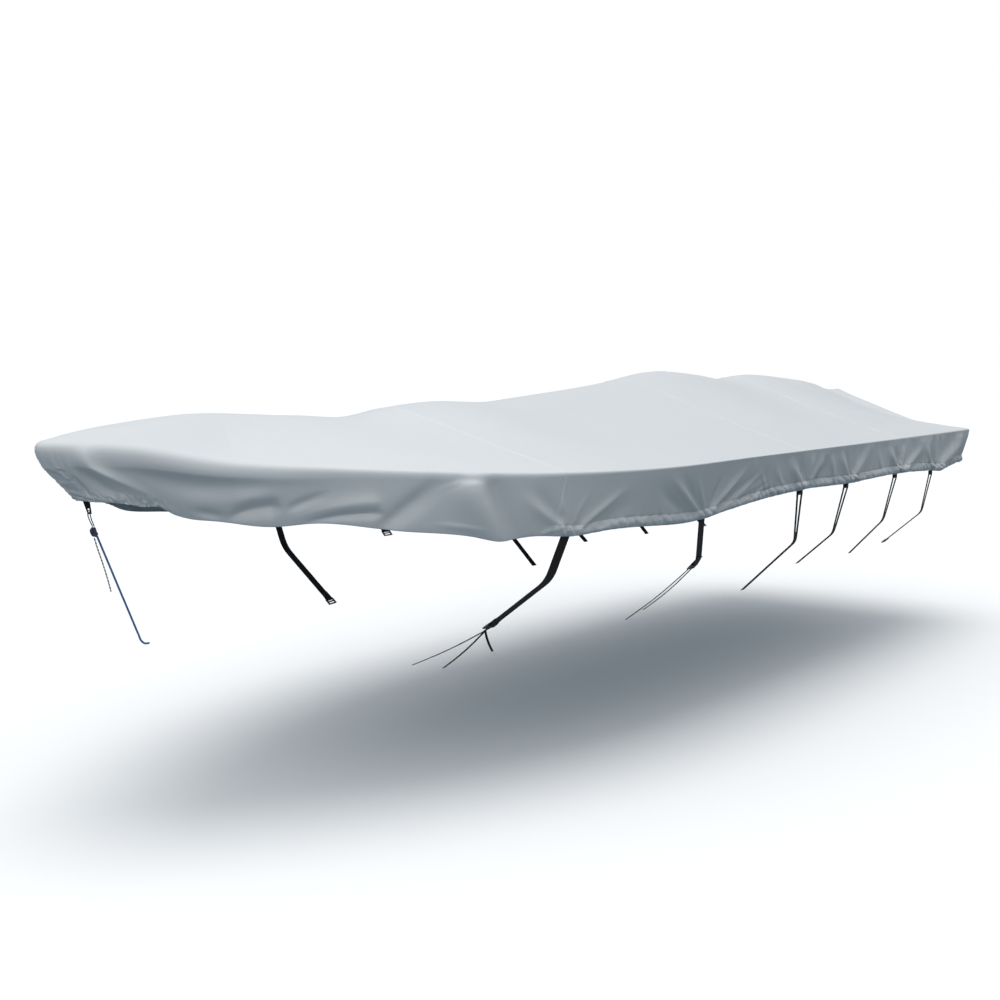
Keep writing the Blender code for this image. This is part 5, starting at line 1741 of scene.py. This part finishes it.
# %% Bow tie sizes
BOW_LOOP = {"top_width": 0.022, "bottom_width": 0.012, "length": 0.042, "thickness": 0.003,
            "slot": 0.006, "rake": 0.0115, "wear": 0.0006, "step": 0.004}
BOW_LOOP_ROWS = (0.0, 0.35, 0.62, 0.74, 0.86, 1.0)
THREAD_SHARE = 0.78
THREAD_HALF = 0.0045
BIGHT_DROP = 0.010
KNOT_ENTRY = 0.004
CORD_RADIUS = 0.0015
ROPE_RADIUS = 0.003
TAIL_RADIUS = 0.002
KNOT_RADII = (0.0125, 0.0125, 0.0155)
KNOT_STRAND = 0.0031
KNOT_LEAN = math.radians(24)
KNOT_FLAT = 0.85
BOW_LOOP_TOP = (-2.3140, 0.0, -0.0190)
KNOT_CENTRE = (-2.2905, 0.0, -0.1115)
ROPE_ROUTE = ((-2.2814, 0.0, -0.1240), (-2.250, 0.0005, -0.195), (-2.215, 0.001, -0.275),
              (-2.180, 0.0008, -0.355), (-2.152, 0.0, -0.420), (-2.1455, -0.002, -0.437),
              (-2.137, -0.008, -0.446), (-2.128, -0.016, -0.445))
TAIL_ROUTE = ((-2.2907, 0.0, -0.1276), (-2.281, -0.001, -0.160), (-2.267, -0.0015, -0.200),
              (-2.253, -0.001, -0.243), (-2.241, 0.0, -0.283))
STRAND_HEIGHT, STRAND_SINK = 0.10, 0.04       # of a cord's radius
CORD_SIDES = 18
END_BULGE = 0.4


# %% Cords
def smooth_route(points, spacing):
    """Points at even spacing along a smooth curve through the route's own points."""
    length = lengths_along(points)
    at = np.linspace(0, length[-1], max(int(round(length[-1] / spacing)), 2) + 1)
    columns = [smooth_read({"length": length, "value": column}, "value", at, key="length")
               for column in np.transpose(points)]
    return np.stack(columns, axis=1)


def make_tube(name, node_name, slot_name, route, radius, finish, lobes=0, pitch=0.012,
              closed=False):
    """A cord along a route; lobes above 0 show its twisted strands."""
    ahead, behind = np.roll(route, -1, axis=0), np.roll(route, 1, axis=0)
    if not closed:
        ahead[-1], behind[0] = route[-1], route[0]
    tangent = np.array([unit(way) for way in ahead - behind])
    along = lengths_along(route)
    seed = unit(np.cross(tangent[0], (0.3, 1, 0.2)))
    turns = np.arange(CORD_SIDES) * FULL_TURN / CORD_SIDES
    rings = []
    for point, way, length in zip(route, tangent, along):
        seed = unit(seed - way * (seed @ way))
        other = np.cross(way, seed)
        strands = STRAND_HEIGHT * np.cos(lobes * turns - lobes * FULL_TURN * length / pitch)
        depth = (1 + (strands - STRAND_SINK if lobes else 0 * turns))[:, None]
        rings.append(point + np.cos(turns)[:, None] * depth * radius * seed
                     + np.sin(turns)[:, None] * depth * radius * other)
    ring_count = len(rings)
    faces, texture = [], []
    for ring in range(ring_count if closed else ring_count - 1):
        after = (ring + 1) % ring_count
        low = along[ring]
        high = along[after] if after else low + along[1]
        for place in range(CORD_SIDES):
            beside = (place + 1) % CORD_SIDES
            faces.append((ring * CORD_SIDES + place, ring * CORD_SIDES + beside,
                          after * CORD_SIDES + beside, after * CORD_SIDES + place))
            left, right = place / CORD_SIDES, (place + 1) / CORD_SIDES
            texture += [(left, low), (right, low), (right, high), (left, high)]
    points = np.concatenate(rings).tolist()
    for ring, way in () if closed else ((0, -1), (ring_count - 1, 1)):
        points.append((route[ring] + tangent[ring] * way * radius * END_BULGE).tolist())
        for place in range(CORD_SIDES):
            pair = (ring * CORD_SIDES + place, ring * CORD_SIDES + (place + 1) % CORD_SIDES)
            faces.append((*pair[::way], len(points) - 1))
            texture += [(place / CORD_SIDES, along[ring])] * 3
    thing = make_piece(name, points, faces, finish, *np.transpose(texture))
    stand_for(thing, slot_name, node_name)
    return thing


print("a cord has", CORD_SIDES, "sides")

# %% The bow tie's pieces
def make_bow_loop():
    """The loop at the stem; the cord's place in it comes back."""
    top = vector(BOW_LOOP_TOP)
    bottom = top + (BOW_LOOP["rake"], 0, -BOW_LOOP["length"])
    slot = BOW_LOOP["slot"] / 2
    rows = []
    for share in BOW_LOOP_ROWS:
        width = BOW_LOOP["top_width"] + share * (BOW_LOOP["bottom_width"] - BOW_LOOP["top_width"])
        places = vector((-width / 2, -slot, 0, slot, width / 2))[:, None]
        rows.append(top + (bottom - top) * share + vector((1, 0, 0)) * places)
    fine, places = finer(rows, BOW_LOOP["step"])
    opened = {(row, column) for row in range(places[2], places[4]) for column in (1, 2)}
    make_ribbon("loop_at_stem", "bow_loop", fine, BOW_LOOP["thickness"], open_faces=opened,
                wear=BOW_LOOP["wear"])
    return top + (bottom - top) * THREAD_SHARE


def bight_route(thread):
    """The thin cord's way: up from the knot, through the loop and back."""
    knot_top = vector(KNOT_CENTRE) + (-0.002, 0, KNOT_RADII[2] - 0.0001)
    through = vector((0, -1, 0))
    runs = thread - UP * BIGHT_DROP
    half, entry = through * THREAD_HALF, through * KNOT_ENTRY
    return smooth_route([knot_top + entry, runs + half * 1.2, thread + half, thread,
                         thread - half, runs - half * 1.2, knot_top - entry], 0.002)


def knot_route():
    """A trefoil drawn up tight, leaning along the line of pull."""
    turn = np.linspace(0, FULL_TURN, 97)[:-1]
    wide = (KNOT_RADII[0] - KNOT_STRAND * 1.2) / 3
    tall = (KNOT_RADII[2] - KNOT_STRAND * 1.2) * 0.9
    x = KNOT_FLAT * wide * (np.sin(turn) + 2 * np.sin(2 * turn))
    y = KNOT_FLAT * wide * (np.cos(turn) - 2 * np.cos(2 * turn))
    z = -tall * np.sin(3 * turn)
    return vector(KNOT_CENTRE) + np.stack([x * math.cos(KNOT_LEAN) - z * math.sin(KNOT_LEAN), y,
                                           x * math.sin(KNOT_LEAN) + z * math.cos(KNOT_LEAN)], 1)


bight = bight_route(make_bow_loop())
knot = make_tube("tie_knot", "bow_knot", "dark_cord", knot_route(), KNOT_STRAND, dark_cord_finish,
                 closed=True)
for name, node_name, slot_name, route, radius, finish, lobes, pitch, far_end, pieces in (
        ("tie_cord", "bow_cord", "dark_cord", bight, CORD_RADIUS, dark_cord_finish, 3, 0.009,
         "object", [knot]),
        ("tie_rope", "bow_rope", "blue_rope", smooth_route(ROPE_ROUTE, 0.004), ROPE_RADIUS,
         rope_finish, 0, 0.012, "bare", []),
        ("tie_tail", "bow_tail", "twisted_cord", smooth_route(TAIL_ROUTE, 0.0015), TAIL_RADIUS,
         tail_finish, 2, 0.012, "bare", [])):
    thing = make_tube(name, node_name, slot_name, route, radius, finish, lobes, pitch)
